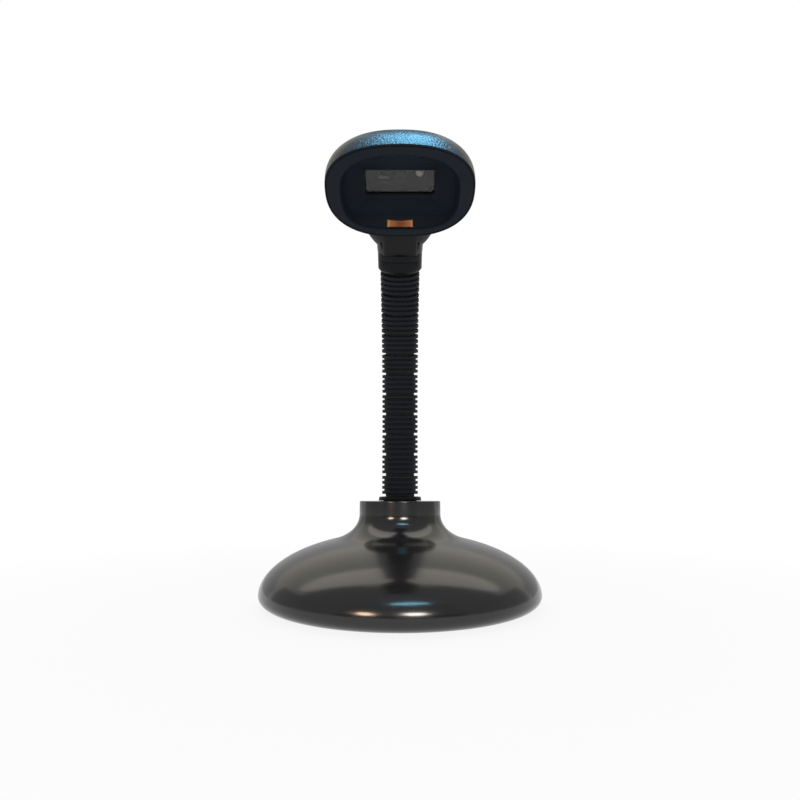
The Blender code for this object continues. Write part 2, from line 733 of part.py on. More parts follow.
def build_shell(head, collar):
    """The textured rear shell with its boss, hollow and open to the front."""
    outer = [head_ring(d) for d in shell_depths(HEAD_DEPTH - HEAD_WALL / 4, 6)]
    shell = loft("rear_shell", outer, TEXTURED_BLACK, head)
    boss = loft("head boss", boss_rings(), TEXTURED_BLACK, collar)
    boolean(shell, boss, "UNION")
    cavity_rings = [head_ring(SHELL_FRONT - CUT_OVERRUN, HEAD_WALL)]
    cavity_rings += [head_ring(d, HEAD_WALL) for d in shell_depths(HEAD_DEPTH - 2 * HEAD_WALL, 5)]
    cavity = loft("shell cavity", cavity_rings, TEXTURED_BLACK, head)
    boolean(shell, cavity)
    well = turned(
        "nut well",
        [
            (STEM_NUT_RADIUS + FIT, BOSS_BOTTOM + BOSS_FLOOR),
            (STEM_NUT_RADIUS + FIT, BOSS_BOTTOM + BOSS_HEIGHT),
        ],
        TEXTURED_BLACK,
        collar,
        COLLAR_SIDES,
    )
    boolean(shell, well)
    stem_hole = loft(
        "stem hole",
        [
            stem_ring(BOSS_BOTTOM - CUT_OVERRUN, FIT),
            stem_ring(SHOULDER + FIT, FIT),
            thread_ring(SHOULDER + FIT, FIT),
            thread_ring(BOSS_BOTTOM + BOSS_FLOOR + CUT_OVERRUN, FIT),
        ],
        TEXTURED_BLACK,
        collar,
    )
    boolean(shell, stem_hole)
    return shell


def window_ring(margin, depth):
    """The window's rounded oblong, grown by a margin."""
    return superellipse(
        WINDOW_HALF_WIDTH + margin,
        WINDOW_HALF_HEIGHT + margin,
        WINDOW_HALF_HEIGHT + margin,
        depth,
        (WINDOW_POWER, WINDOW_POWER),
        -WINDOW_DROP,
    )


def mouth_ring():
    """The mouth's outline on the rim's face."""
    return superellipse(
        MOUTH_HALF_WIDTH, MOUTH_TOP, MOUTH_BOTTOM, 0.0, (MOUTH_TOP_POWER, MOUTH_BOTTOM_POWER)
    )


def lip_ring(margin, depth):
    """The crease at the foot of the mouth's lip, grown by a margin."""
    return superellipse(
        LIP_HALF_WIDTH + margin,
        LIP_TOP + margin,
        LIP_BOTTOM + margin,
        depth,
        (LIP_TOP_POWER, LIP_BOTTOM_POWER),
    )


def build_bezel(head):
    """The front bezel: flat rim, lip, funnel and window frame in one moulding."""
    spigot_inset = HEAD_WALL + FIT
    spigot_back = BEZEL_EDGE + BEZEL_SPIGOT
    glass_seat = GLASS_OVERLAP + FIT
    rings = [
        head_ring(BEZEL_EDGE, spigot_inset),
        head_ring(BEZEL_EDGE),
        head_ring(BEZEL_ROUND),
        head_ring(0.0, BEZEL_ROUND),
        mouth_ring(),
        lip_ring(0.0, LIP_DEPTH),
        window_ring(FRAME_MARGIN, FRAME_DEPTH),
        window_ring(0.0, FRAME_DEPTH),
        window_ring(0.0, FRAME_DEPTH + WINDOW_RECESS),
        window_ring(glass_seat, FRAME_DEPTH + WINDOW_RECESS),
        window_ring(glass_seat, FRAME_BACK),
        window_ring(glass_seat + FRAME_WALL, FRAME_BACK),
        lip_ring(BEZEL_WALL, LIP_DEPTH + BEZEL_WALL),
        head_ring(spigot_back, spigot_inset + BEZEL_WALL),
        head_ring(spigot_back, spigot_inset),
    ]
    return loft("front_bezel", rings, SLATE, head, hollow=True)


def build_window(head):
    """The glass plate in its seat behind the frame."""
    rings = [window_ring(GLASS_OVERLAP, GLASS_FRONT), window_ring(GLASS_OVERLAP, GLASS_BACK)]
    loft("scan_window", rings, GLASS, head)


def pipe_bar(name, extra, finish, head):
    """The light pipe's bar, its face on the slope of the lower lip, grown by a clearance."""
    slope = LIP_DEPTH / (MOUTH_BOTTOM - LIP_BOTTOM)
    low = -PIPE_DROP - PIPE_HEIGHT / 2 - extra
    high = -PIPE_DROP + PIPE_HEIGHT / 2 + extra
    front = -PIPE_PROUD - extra
    back = PIPE_BACK + extra
    side = [
        (slope * (MOUTH_BOTTOM + low) + front, low),
        (slope * (MOUTH_BOTTOM + high) + front, high),
        (back, high),
        (back, low),
    ]
    half_width = PIPE_WIDTH / 2 + extra
    rings = [
        [Vector((x, depth - RIM_REACH, rise)) for depth, rise in side] for x in (-half_width, half_width)
    ]
    return loft(name, rings, finish, head)


def build_indicator(head, bezel):
    """Amber light pipe through the lower lip, and the LED behind it."""
    pipe_bar("light_pipe", 0.0, AMBER, head)
    boolean(bezel, pipe_bar("pipe slot", FIT, AMBER, head))
    front = PIPE_BACK + FIT - RIM_REACH
    block(
        "indicator_led",
        Vector((-INDICATOR_WIDTH / 2, front, -PIPE_DROP - INDICATOR_HEIGHT / 2)),
        Vector((INDICATOR_WIDTH / 2, front + INDICATOR_LENGTH, -PIPE_DROP + INDICATOR_HEIGHT / 2)),
        CREAM,
        head,
    )


def build_engine(head, bezel):
    """Chassis behind the window with barrel, lens, LED, aimer, and screws into the bezel's frame."""
    flange_half_width = ENGINE_SCREW_OFFSET + FLANGE_MARGIN
    recess_back = CHASSIS_FRONT + CHASSIS_RECESS
    chassis = block(
        "engine_chassis",
        Vector((-CHASSIS_HALF_WIDTH, CHASSIS_FRONT - RIM_REACH, -CHASSIS_HALF_HEIGHT)),
        Vector((CHASSIS_HALF_WIDTH, CHASSIS_BACK - RIM_REACH, CHASSIS_HALF_HEIGHT)),
        SATIN_BLACK,
        head,
    )
    flange = block(
        "chassis flange",
        Vector((-flange_half_width, CHASSIS_FRONT - RIM_REACH, -FLANGE_HALF_HEIGHT)),
        Vector((flange_half_width, CHASSIS_FRONT + CHASSIS_FLANGE_THICKNESS - RIM_REACH, FLANGE_HALF_HEIGHT)),
        SATIN_BLACK,
        head,
    )
    inside_width = CHASSIS_HALF_WIDTH - CHASSIS_WALL
    inside_height = CHASSIS_HALF_HEIGHT - CHASSIS_WALL
    recess = block(
        "chassis recess",
        Vector((-inside_width, CHASSIS_FRONT - CUT_OVERRUN - RIM_REACH, -inside_height)),
        Vector((inside_width, recess_back - RIM_REACH, inside_height)),
        SATIN_BLACK,
        head,
    )
    boolean(chassis, flange, "UNION")
    boolean(chassis, recess)
    face = recess_back - FIT
    barrel = turned("lens_barrel", [(BARREL_RADIUS, 0), (BARREL_RADIUS, BARREL_LENGTH)], SATIN_BLACK, head)
    along_scan_axis(barrel, 0, face, 0)
    lens_seat = turned(
        "lens seat",
        [(LENS_RADIUS + FIT, BARREL_LENGTH / 2), (LENS_RADIUS + FIT, BARREL_LENGTH + CUT_OVERRUN)],
        SATIN_BLACK,
        head,
    )
    along_scan_axis(lens_seat, 0, face, 0)
    boolean(barrel, lens_seat)
    lens_base = BARREL_LENGTH / 2 + FIT
    lens = turned(
        "imaging_lens",
        [
            (LENS_RADIUS, lens_base),
            (LENS_RADIUS, lens_base + LENS_BULGE / 2),
            (LENS_RADIUS / 2, lens_base + LENS_BULGE),
        ],
        LENS_GLASS,
        head,
    )
    along_scan_axis(lens, 0, face, 0)
    led = turned(
        "illumination_led",
        [
            (LED_RADIUS, 0),
            (LED_RADIUS, LED_LENGTH / 2),
            (LED_RADIUS * math.cos(math.radians(45)), LED_LENGTH * 0.85),
            (LED_RADIUS / 4, LED_LENGTH),
        ],
        CREAM,
        head,
    )
    along_scan_axis(led, LED_OFFSET, face, LED_RISE)
    block(
        "aimer_lens",
        Vector((AIMER_OFFSET - AIMER_WIDTH / 2, face - AIMER_LENGTH - RIM_REACH, -AIMER_HEIGHT / 2)),
        Vector((AIMER_OFFSET + AIMER_WIDTH / 2, face - RIM_REACH, AIMER_HEIGHT / 2)),
        CREAM,
        head,
    )
    for side, word in ((-1, "left"), (1, "right")):
        across = side * ENGINE_SCREW_OFFSET
        behind = CHASSIS_FRONT + CHASSIS_FLANGE_THICKNESS + FIT
        screw = turned(
            f"engine_screw_{word}",
            [
                (ENGINE_SCREW_HEAD, -ENGINE_SCREW_HEAD / 2),
                (ENGINE_SCREW_HEAD, 0),
                (ENGINE_SCREW_RADIUS, 0),
                (ENGINE_SCREW_RADIUS, ENGINE_SCREW_LENGTH),
            ],
            STEEL,
            head,
        )
        along_scan_axis(screw, across, behind, 0)
        hole = turned(
            f"engine screw hole {word}",
            [
                (ENGINE_SCREW_RADIUS + FIT, FIT / 2),
                (ENGINE_SCREW_RADIUS + FIT, ENGINE_SCREW_LENGTH + FIT),
            ],
            STEEL,
            head,
        )
        along_scan_axis(hole, across, behind, 0)
        boolean(chassis, hole)
        boolean(bezel, hole)


def build_electronics(head, shell):
    """Decoder board behind the engine, buzzer on it, and the port through the shell's back."""
    board_back = HEAD_DEPTH - BOARD_SETBACK
    block(
        "decoder_board",
        Vector((-BOARD_HALF_WIDTH, BOARD_FRONT - RIM_REACH, BOARD_TOP - BOARD_THICKNESS)),
        Vector((BOARD_HALF_WIDTH, board_back - RIM_REACH, BOARD_TOP)),
        BOARD_GREEN,
        head,
    )
    buzzer = turned("buzzer", [(BUZZER_RADIUS, 0), (BUZZER_RADIUS, BUZZER_HEIGHT)], SATIN_BLACK, head)
    beside_port = -(PORT_HALF_WIDTH + FIT + BUZZER_RADIUS)
    buzzer.data.transform(
        Matrix.Translation((beside_port, BOARD_FRONT + BUZZER_RADIUS + FIT - RIM_REACH, BOARD_TOP + FIT))
    )
    lift = BOARD_TOP + FIT + PORT_HALF_HEIGHT
    port_back = HEAD_DEPTH - HEAD_WALL
    port_front = port_back - PORT_LENGTH

    def port_ring(margin, depth):
        return superellipse(
            PORT_HALF_WIDTH + margin,
            PORT_HALF_HEIGHT + margin,
            PORT_HALF_HEIGHT + margin,
            depth,
            (PORT_POWER, PORT_POWER),
            lift,
            SMALL_SIDES,
        )

    cup = loft("data_port", [port_ring(0.0, port_front), port_ring(0.0, port_back)], STEEL, head)
    hollow = loft(
        "port hollow",
        [port_ring(-PORT_WALL, port_front + PORT_WALL), port_ring(-PORT_WALL, port_back + CUT_OVERRUN)],
        STEEL,
        head,
    )
    boolean(cup, hollow)
    opening = loft(
        "port opening",
        [port_ring(FIT, port_front - FIT), port_ring(FIT, HEAD_DEPTH + CUT_OVERRUN)],
        STEEL,
        head,
    )
    boolean(shell, opening)


def build_head(collar):
    """All of the scan head, in a frame tipped forward on its stem."""
    head = empty("head_frame", (0, 0, SCAN_AXIS_RISE), HEAD_TIP_DEG, collar)
    shell = build_shell(head, collar)
    bezel = build_bezel(head)
    build_window(head)
    build_indicator(head, bezel)
    build_engine(head, bezel)
    build_electronics(head, shell)


build_base()
neck_end = build_neck()
build_collar(neck_end)
build_head(neck_end)
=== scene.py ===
"""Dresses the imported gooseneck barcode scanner: studio, finishes and detailed pieces.

Sizes are in metres and angles in degrees, in the part's own frame: +Z is up, the
base stands on the origin and the scan head faces -Y. Every piece rides on the body
it belongs to.
"""

import json
import logging
import math
from dataclasses import dataclass, field
from enum import Enum
from functools import cache
from typing import Callable, Sequence

import bmesh
import bpy
from mathutils import Matrix, Vector


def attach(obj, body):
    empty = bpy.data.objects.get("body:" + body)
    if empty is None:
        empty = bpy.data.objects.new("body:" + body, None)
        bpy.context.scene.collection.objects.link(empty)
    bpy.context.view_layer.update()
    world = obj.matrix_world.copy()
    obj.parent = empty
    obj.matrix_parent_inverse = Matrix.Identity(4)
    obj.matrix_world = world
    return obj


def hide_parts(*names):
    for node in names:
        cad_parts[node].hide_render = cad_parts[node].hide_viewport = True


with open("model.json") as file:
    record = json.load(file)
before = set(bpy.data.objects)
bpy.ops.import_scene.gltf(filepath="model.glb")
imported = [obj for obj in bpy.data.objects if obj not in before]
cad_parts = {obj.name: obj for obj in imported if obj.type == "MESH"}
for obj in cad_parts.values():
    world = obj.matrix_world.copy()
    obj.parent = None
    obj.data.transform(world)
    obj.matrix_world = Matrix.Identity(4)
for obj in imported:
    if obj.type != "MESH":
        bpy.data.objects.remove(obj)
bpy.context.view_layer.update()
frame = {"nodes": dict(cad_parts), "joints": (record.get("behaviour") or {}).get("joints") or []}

MM = 0.001
LOG = logging.getLogger("scanner")

# A lathe section as radius and height pairs, a ring as a function from an angle to its point,
# and rings of one outline as margin and depth pairs in millimetres
Outline = list[tuple[float, float]]
Placing = Callable[[float], Vector]
Rings = tuple[tuple[float, float], ...]

# Nearly all of a noise texture's values lie between these
NOISE_SPAN = {"From Min": 0.3, "From Max": 0.7}

# The cups that sit on the core links' balls, alike in every piece of the neck
CUP_RADIUS = 8.45 * MM
CUP_DEPTH = 4.3 * MM
CUP_BORE = 6.0 * MM
CUP_ROOT_DEG = 26.0


def linear(code: str) -> tuple[float, float, float, float]:
    """Turns an sRGB hex colour into linear RGBA.

    Args:
        code: The colour as "#rrggbb".

    Returns:
        The linear red, green and blue with full alpha.
    """
    channels = [int(code[i : i + 2], 16) / 255 for i in (1, 3, 5)]
    red, green, blue = (
        c / 12.92 if c <= 0.04045 else ((c + 0.055) / 1.055) ** 2.4 for c in channels
    )
    return red, green, blue, 1.0


def add_node(
    tree: bpy.types.NodeTree, kind: str, sockets: dict | None = None, **settings: object
) -> bpy.types.Node:
    """Adds a node with its settings, values and links.

    Args:
        tree: The node tree that gets the node.
        kind: The node's type.
        sockets: Input names or numbers, each with a value or with an output socket to link.
        settings: Properties of the node.

    Returns:
        The new node.
    """
    made = tree.nodes.new(kind)
    for name, value in settings.items():
        setattr(made, name, value)
    for name, value in (sockets or {}).items():
        if isinstance(value, bpy.types.NodeSocket):
            tree.links.new(value, made.inputs[name])
        else:
            made.inputs[name].default_value = value
    return made


def empty_material(name: str) -> tuple[bpy.types.Material, bpy.types.NodeTree, bpy.types.Node]:
    """Starts a node material.

    Args:
        name: The material's name.

    Returns:
        The material, its tree and its output node.
    """
    made = bpy.data.materials.new(name)
    made.use_nodes = True
    made.node_tree.nodes.clear()
    return made, made.node_tree, add_node(made.node_tree, "ShaderNodeOutputMaterial")


class Tooling(Enum):
    """How a mould's face was finished: its grain and the grain's depth, in millimetres.

    Spark erosion leaves pits a tenth of this size: they are drawn coarser, so that they show.
    """

    POLISHED = (0.8, 0.0012)
    SATIN = (0.30, 0.004)
    SPARK_ERODED = (0.9, 0.3)


@dataclass(frozen=True)
class MouldedPlastic:
    """Plastic coloured right through: the tool leaves the grain, use leaves smears and dust."""

    name: str
    pigment: str
    tooling: Tooling
    roughness: float
    specular: float = 0.5
    ior: float = 1.53
    dust: str = "#8d8a84"
    dust_share: float = 0.015
    dust_slope: float = -0.2
    speck_mm: float = 0.7
    speck_span: tuple[float, float] = (0.55, 0.8)
    smear_mm: float = 16.0
    smear_share: float = 0.15

    @cache
    def material(self) -> bpy.types.Material:
        """Grain in the bump, smears in the gloss and a little dust where the surface looks up.

        Returns:
            The material, made once.
        """
        made, tree, output = empty_material(self.name)
        grain_mm, depth_mm = self.tooling.value
        place = add_node(tree, "ShaderNodeTexCoord").outputs["Object"]
        grain = add_node(
            tree,
            "ShaderNodeTexNoise",
            {"Vector": place, "Scale": 1 / (grain_mm * MM), "Detail": 2.0},
        )
        smear = add_node(
            tree,
            "ShaderNodeTexNoise",
            {"Vector": place, "Scale": 1 / (self.smear_mm * MM), "Detail": 4.0},
        )
        gloss = add_node(
            tree,
            "ShaderNodeMapRange",
            {
                "Value": smear.outputs["Fac"],
                **NOISE_SPAN,
                "To Min": self.roughness * (1 - self.smear_share),
                "To Max": self.roughness * (1 + self.smear_share),
            },
        )
        specks = add_node(
            tree,
            "ShaderNodeTexNoise",
            {"Vector": place, "Scale": 1 / (self.speck_mm * MM), "Detail": 3.0},
        )
        faint, full = self.speck_span
        speck = add_node(
            tree,
            "ShaderNodeMapRange",
            {
                "Value": specks.outputs["Fac"],
                "From Min": faint,
                "From Max": full,
                "To Max": self.dust_share,
            },
        )
        normal = add_node(tree, "ShaderNodeNewGeometry").outputs["Normal"]
        upward = add_node(tree, "ShaderNodeSeparateXYZ", {"Vector": normal}).outputs["Z"]
        lies = add_node(
            tree,
            "ShaderNodeMapRange",
            {"Value": upward, "From Min": self.dust_slope, "From Max": 1.0},
        )
        dusty = add_node(
            tree,
            "ShaderNodeMath",
            {0: speck.outputs["Result"], 1: lies.outputs["Result"]},
            operation="MULTIPLY",
        )
        colour = add_node(
            tree,
            "ShaderNodeMix",
            {0: dusty.outputs["Value"], 6: linear(self.pigment), 7: linear(self.dust)},
            data_type="RGBA",
        )
        bump = add_node(
            tree,
            "ShaderNodeBump",
            {"Height": grain.outputs["Fac"], "Distance": depth_mm * MM, "Strength": 1.0},
        )
        shader = add_node(
            tree,
            "ShaderNodeBsdfPrincipled",
            {
                "Base Color": colour.outputs[2],
                "Roughness": gloss.outputs["Result"],
                "Normal": bump.outputs["Normal"],
                "IOR": self.ior,
                "Specular IOR Level": self.specular,
            },
        )
        tree.links.new(shader.outputs["BSDF"], output.inputs["Surface"])
        return made


@dataclass(frozen=True)
class Metal:
    """A bare or treated metal with a fine directionless grain and dull patches."""

    name: str
    colour: str
    roughness: float
    grain_mm: float = 0.4
    grain_depth_mm: float = 0.004
    grain_strength: float = 0.6
    gloss_span: tuple[float, float] = (0.8, 1.25)
    bareness: float = 1.0

    @cache
    def material(self) -> bpy.types.Material:
        """Metal whose gloss wavers with the grain.

        Returns:
            The material, made once.
        """
        made, tree, output = empty_material(self.name)
        place = add_node(tree, "ShaderNodeTexCoord").outputs["Object"]
        grain = add_node(
            tree,
            "ShaderNodeTexNoise",
            {"Vector": place, "Scale": 1 / (self.grain_mm * MM), "Detail": 4.0},
        )
        bright, dull = self.gloss_span
        gloss = add_node(
            tree,
            "ShaderNodeMapRange",
            {
                "Value": grain.outputs["Fac"],
                **NOISE_SPAN,
                "To Min": self.roughness * bright,
                "To Max": self.roughness * dull,
            },
        )
        bump = add_node(
            tree,
            "ShaderNodeBump",
            {
                "Height": grain.outputs["Fac"],
                "Distance": self.grain_depth_mm * MM,
                "Strength": self.grain_strength,
            },
        )
        shader = add_node(
            tree,
            "ShaderNodeBsdfPrincipled",
            {
                "Base Color": linear(self.colour),
                "Metallic": self.bareness,
                "Roughness": gloss.outputs["Result"],
                "Normal": bump.outputs["Normal"],
            },
        )
        tree.links.new(shader.outputs["BSDF"], output.inputs["Surface"])
        return made


@dataclass(frozen=True)
class ClearPlastic:
    """A see-through plastic or glass, tinted in the mass, with faint wipe marks in its gloss."""

    name: str
    tint: str
    clarity: float
    roughness: float
    ior: float
    wipe_mm: float = 5.0
    wipe_span: tuple[float, float] = (0.35, 0.7)
    wipe_dulling: float = 1.8

    @cache
    def material(self) -> bpy.types.Material:
        """Transmission with a tint, and wipe marks in the gloss.

        Returns:
            The material, made once.
        """
        made, tree, output = empty_material(self.name)
        place = add_node(tree, "ShaderNodeTexCoord").outputs["Object"]
        wipe = add_node(
            tree,
            "ShaderNodeTexNoise",
            {"Vector": place, "Scale": 1 / (self.wipe_mm * MM), "Detail": 3.0},
        )
        clean, smudged = self.wipe_span
        gloss = add_node(
            tree,
            "ShaderNodeMapRange",
            {
                "Value": wipe.outputs["Fac"],
                "From Min": clean,
                "From Max": smudged,
                "To Min": self.roughness,
                "To Max": self.roughness * self.wipe_dulling,
            },
        )
        shader = add_node(
            tree,
            "ShaderNodeBsdfPrincipled",
            {
                "Base Color": linear(self.tint),
                "Roughness": gloss.outputs["Result"],
                "IOR": self.ior,
                "Transmission Weight": self.clarity,
            },
        )
        tree.links.new(shader.outputs["BSDF"], output.inputs["Surface"])
        return made


@dataclass(frozen=True)
class DyedPipe:
    """A dyed light pipe: cloudy acrylic, deeper in colour in the middle and lighter towards the
    ends.
    """

    name: str
    middle: str
    ends: str
    half_width_mm: float
    core_mm: float = 0.5
    flow_mm: float = 2.0
    stray_mm: float = 1.0
    roughness: float = 0.3
    clarity: float = 0.15
    ior: float = 1.49

    @cache
    def material(self) -> bpy.types.Material:
        """Two colours across the pipe, the deeper one in the middle, their border clouded by flow
        marks.

        Returns:
            The material, made once.
        """
        made, tree, output = empty_material(self.name)
        place = add_node(tree, "ShaderNodeTexCoord").outputs["Object"]
        across = add_node(tree, "ShaderNodeSeparateXYZ", {"Vector": place}).outputs["X"]
        off = add_node(tree, "ShaderNodeMath", {0: across}, operation="ABSOLUTE")
        flow = add_node(
            tree,
            "ShaderNodeTexNoise",
            {"Vector": place, "Scale": 1 / (self.flow_mm * MM), "Detail": 3.0},
        )
        stray = add_node(
            tree,
            "ShaderNodeMapRange",
            {
                "Value": flow.outputs["Fac"],
                **NOISE_SPAN,
                "To Min": -self.stray_mm * MM,
                "To Max": self.stray_mm * MM,
            },
        )
        thin = add_node(
            tree,
            "ShaderNodeMath",
            {0: off.outputs["Value"], 1: stray.outputs["Result"]},
            operation="ADD",
        )
        share = add_node(
            tree,
            "ShaderNodeMapRange",
            {
                "Value": thin.outputs["Value"],
                "From Min": self.core_mm * MM,
                "From Max": self.half_width_mm * MM,
            },
        )
        colour = add_node(
            tree,
            "ShaderNodeMix",
            {0: share.outputs["Result"], 6: linear(self.middle), 7: linear(self.ends)},
            data_type="RGBA",
        )
        shader = add_node(
            tree,
            "ShaderNodeBsdfPrincipled",
            {
                "Base Color": colour.outputs[2],
                "Roughness": self.roughness,
                "IOR": self.ior,
                "Transmission Weight": self.clarity,
            },
        )
        tree.links.new(shader.outputs["BSDF"], output.inputs["Surface"])
        return made


Finish = MouldedPlastic | Metal | ClearPlastic | DyedPipe

# Spark-eroded ABS glitters: its pits catch a lamp here and there
HEAD_ABS = MouldedPlastic(
    "spark-eroded black ABS", "#161618", Tooling.SPARK_ERODED, 0.34, specular=0.22
)
# Blasted ABS spreads what light it gets and shows no highlight, least of all in the bowl
BEZEL_ABS = MouldedPlastic("blasted slate ABS", "#15191f", Tooling.SATIN, 0.55, specular=0.1)
# The bowl gets the same slate ABS in a lighter pigment than the rim: painted light that cancels the
# shade falling inside the bowl
BOWL_ABS_PAINTED_LIGHT = MouldedPlastic("slate ABS lightened against bowl shade", "#1c222a", Tooling.SATIN, 0.65, specular=0.1)
# A polished mould gives the base a deep gloss that mirrors the room a little blurred
BASE_ABS = MouldedPlastic("gloss-moulded black ABS", "#121214", Tooling.POLISHED, 0.17)
# The collar's pieces are one black in three sheens: satin, lapped and, on the fork, buffed
COLLAR_ABS = MouldedPlastic("satin black ABS", "#0f1115", Tooling.SATIN, 0.4, specular=0.12)
STEM_ABS = MouldedPlastic("lapped black ABS", "#101114", Tooling.SATIN, 0.34, specular=0.2)
FORK_ABS = MouldedPlastic("buffed black ABS", "#121316", Tooling.SATIN, 0.3, specular=0.34)
# Extruded PVC over the core: a dull skin that holds dust in its grooves
SLEEVE_PVC = MouldedPlastic(
    "ribbed black PVC", "#181a1f", Tooling.SATIN, 0.5, specular=0.12, dust_share=0.02
)
# Moulded nitrile rubber: matt, and a touch greyer than the plastics
PAD_RUBBER = MouldedPlastic("moulded nitrile rubber", "#161616", Tooling.SATIN, 0.75, specular=0.3)
# Glass-filled nylon swallows stray light round the lens
ENGINE_BLACK = MouldedPlastic("glass-filled nylon", "#0d0e0e", Tooling.SATIN, 0.6, specular=0.1)
# Cast epoxy over the LED's phosphor looks cream; the diffusers' resin is a soft, even grey
LED_EPOXY = MouldedPlastic("cast cream epoxy", "#f5e0c6", Tooling.POLISHED, 0.25)
SLIT_RESIN = MouldedPlastic("smoked diffuser resin", "#3c3c3b", Tooling.SATIN, 0.5, specular=0.2)
AIMER_RESIN = MouldedPlastic("frosted diffuser resin", "#6c6c6b", Tooling.SATIN, 0.5, specular=0.2)
# Solder mask is a thin green gloss over the board's glass cloth
BOARD_FR4 = MouldedPlastic("green solder mask on FR4", "#1d4a33", Tooling.POLISHED, 0.35)
# Zinc plate shines coolly, oil blacking leaves a dark sheen, phosphate hides the metal's shine
# altogether and raw cast iron is dull and coarse
ZINC = Metal("zinc-plated steel", "#b8b8b6", 0.3)
BLACK_OXIDE = Metal("oil-blackened steel", "#2a2a2c", 0.45)
PHOSPHATE = Metal("phosphated steel", "#191b1f", 0.65, bareness=0.0)
CAST_IRON = Metal("raw cast iron", "#3a3938", 0.7, grain_mm=1.2)
# Acrylic: the pane is smoked and shiny, and the light pipe is dyed amber and slightly cloudy. Its
# flange is painted nearly black as painted shade, the shadow line round the pipe. The lens's
# coating takes most of its shine
WINDOW_PMMA = ClearPlastic("smoked PMMA", "#d8d9da", 1.0, 0.05, ior=1.42)
AMBER_PMMA = DyedPipe("amber-dyed PMMA", "#854b2b", "#af7147", 5.0)
# The flange's near-black colour is painted shade: it stands for the shadow line round the light
# pipe
PIPE_SHADE_LINE = DyedPipe("pipe flange painted as shade line", "#2a1509", "#331b0d", 6.0)
LENS_GLASS = ClearPlastic("coated lens glass", "#14161a", 0.5, 0.03, ior=1.3)


def arc(
    centre: tuple[float, float], axes: tuple[float, float], start: float, end: float, steps: int
) -> Outline:
    """Walks along an ellipse in a lathe outline.

    Args:
        centre: Radius and height of the ellipse's centre.
        axes: Its half-axes in radius and height.
        start: First angle in degrees.
        end: Last angle in degrees.
        steps: How many chords.

    Returns:
        Radius and height pairs, both ends included.
    """
    turns = [math.radians(start + (end - start) * i / steps) for i in range(steps + 1)]
    return [(centre[0] + axes[0] * math.cos(a), centre[1] + axes[1] * math.sin(a)) for a in turns]


def ball_cup(lip: float) -> Outline:
    """A cup that sits on a core link's ball, whose centre is at height nought.

    Args:
        lip: Where the cup ends, in degrees above the ball's centre.

    Returns:
        The outline from the bore out to the lip.
    """
    return [(CUP_BORE, CUP_DEPTH), *arc((0, 0), (CUP_RADIUS, CUP_RADIUS), CUP_ROOT_DEG, lip, 4)]


def squared(across: float, up: float, power: float) -> float:
    """How far a rounded square of half-width one reaches in a direction.

    Args:
        across: The direction's share across.
        up: The direction's share upwards.
        power: How square it is: 2 is a circle, more is squarer.

    Returns:
        The reach.
    """
    return (abs(across) ** power + abs(up) ** power) ** (-1 / power)


def oblong(
    half_width: float,
    heights: tuple[float, float],
    depth: float,
    powers: tuple[float, float],
    lift: float = 0.0,
) -> Placing:
    """A rounded outline across the scan axis.

    Args:
        half_width: Half its width.
        heights: Its reach above and below.
        depth: Its place along the scan axis, in the head's frame.
        powers: How square it is above and below: 2 is an ellipse, more is squarer.
        lift: Height of its middle.

    Returns:
        A function that gives the point at an angle.
    """

    def place(turn: float) -> Vector:
        """The point at one angle.

        Args:
            turn: The angle.

        Returns:
            The point.
        """
        across, up = math.cos(turn), math.sin(turn)
        power, height = (powers[0], heights[0]) if up >= 0 else (powers[1], heights[1])
        reach = squared(across, up, power)
        return Vector((half_width * across * reach, depth, lift + height * up * reach))

    return place


def panel(
    half_width: float, half_height: float, corners: tuple[float, float], depth: float, lift: float
) -> Placing:
    """A straight-sided outline across the scan axis, with rounded corners.

    Args:
        half_width: Half its width.
        half_height: Half its height.
        corners: Radii of its upper and its lower corners.
        depth: Its place along the scan axis, in the head's frame.
        lift: Height of its middle.

    Returns:
        A function that gives the point at an angle.
    """

    def place(turn: float) -> Vector:
        """The point at one angle.

        Args:
            turn: The angle.

        Returns:
            The point.
        """
        across, up = math.cos(turn), math.sin(turn)
        radius = corners[0] if up >= 0 else corners[1]
        ray = Vector((abs(across) * half_width, abs(up) * half_height))
        hub = Vector((half_width - radius, half_height - radius))
        reach = 1 / max(abs(across), abs(up))
        if ray.x * reach > hub.x and ray.y * reach > hub.y:
            along = ray.dot(hub)
            rest = along**2 - ray.dot(ray) * (hub.dot(hub) - radius**2)
            reach = (along + math.sqrt(rest)) / ray.dot(ray)
        return Vector((half_width * across * reach, depth, lift + half_height * up * reach))

    return place


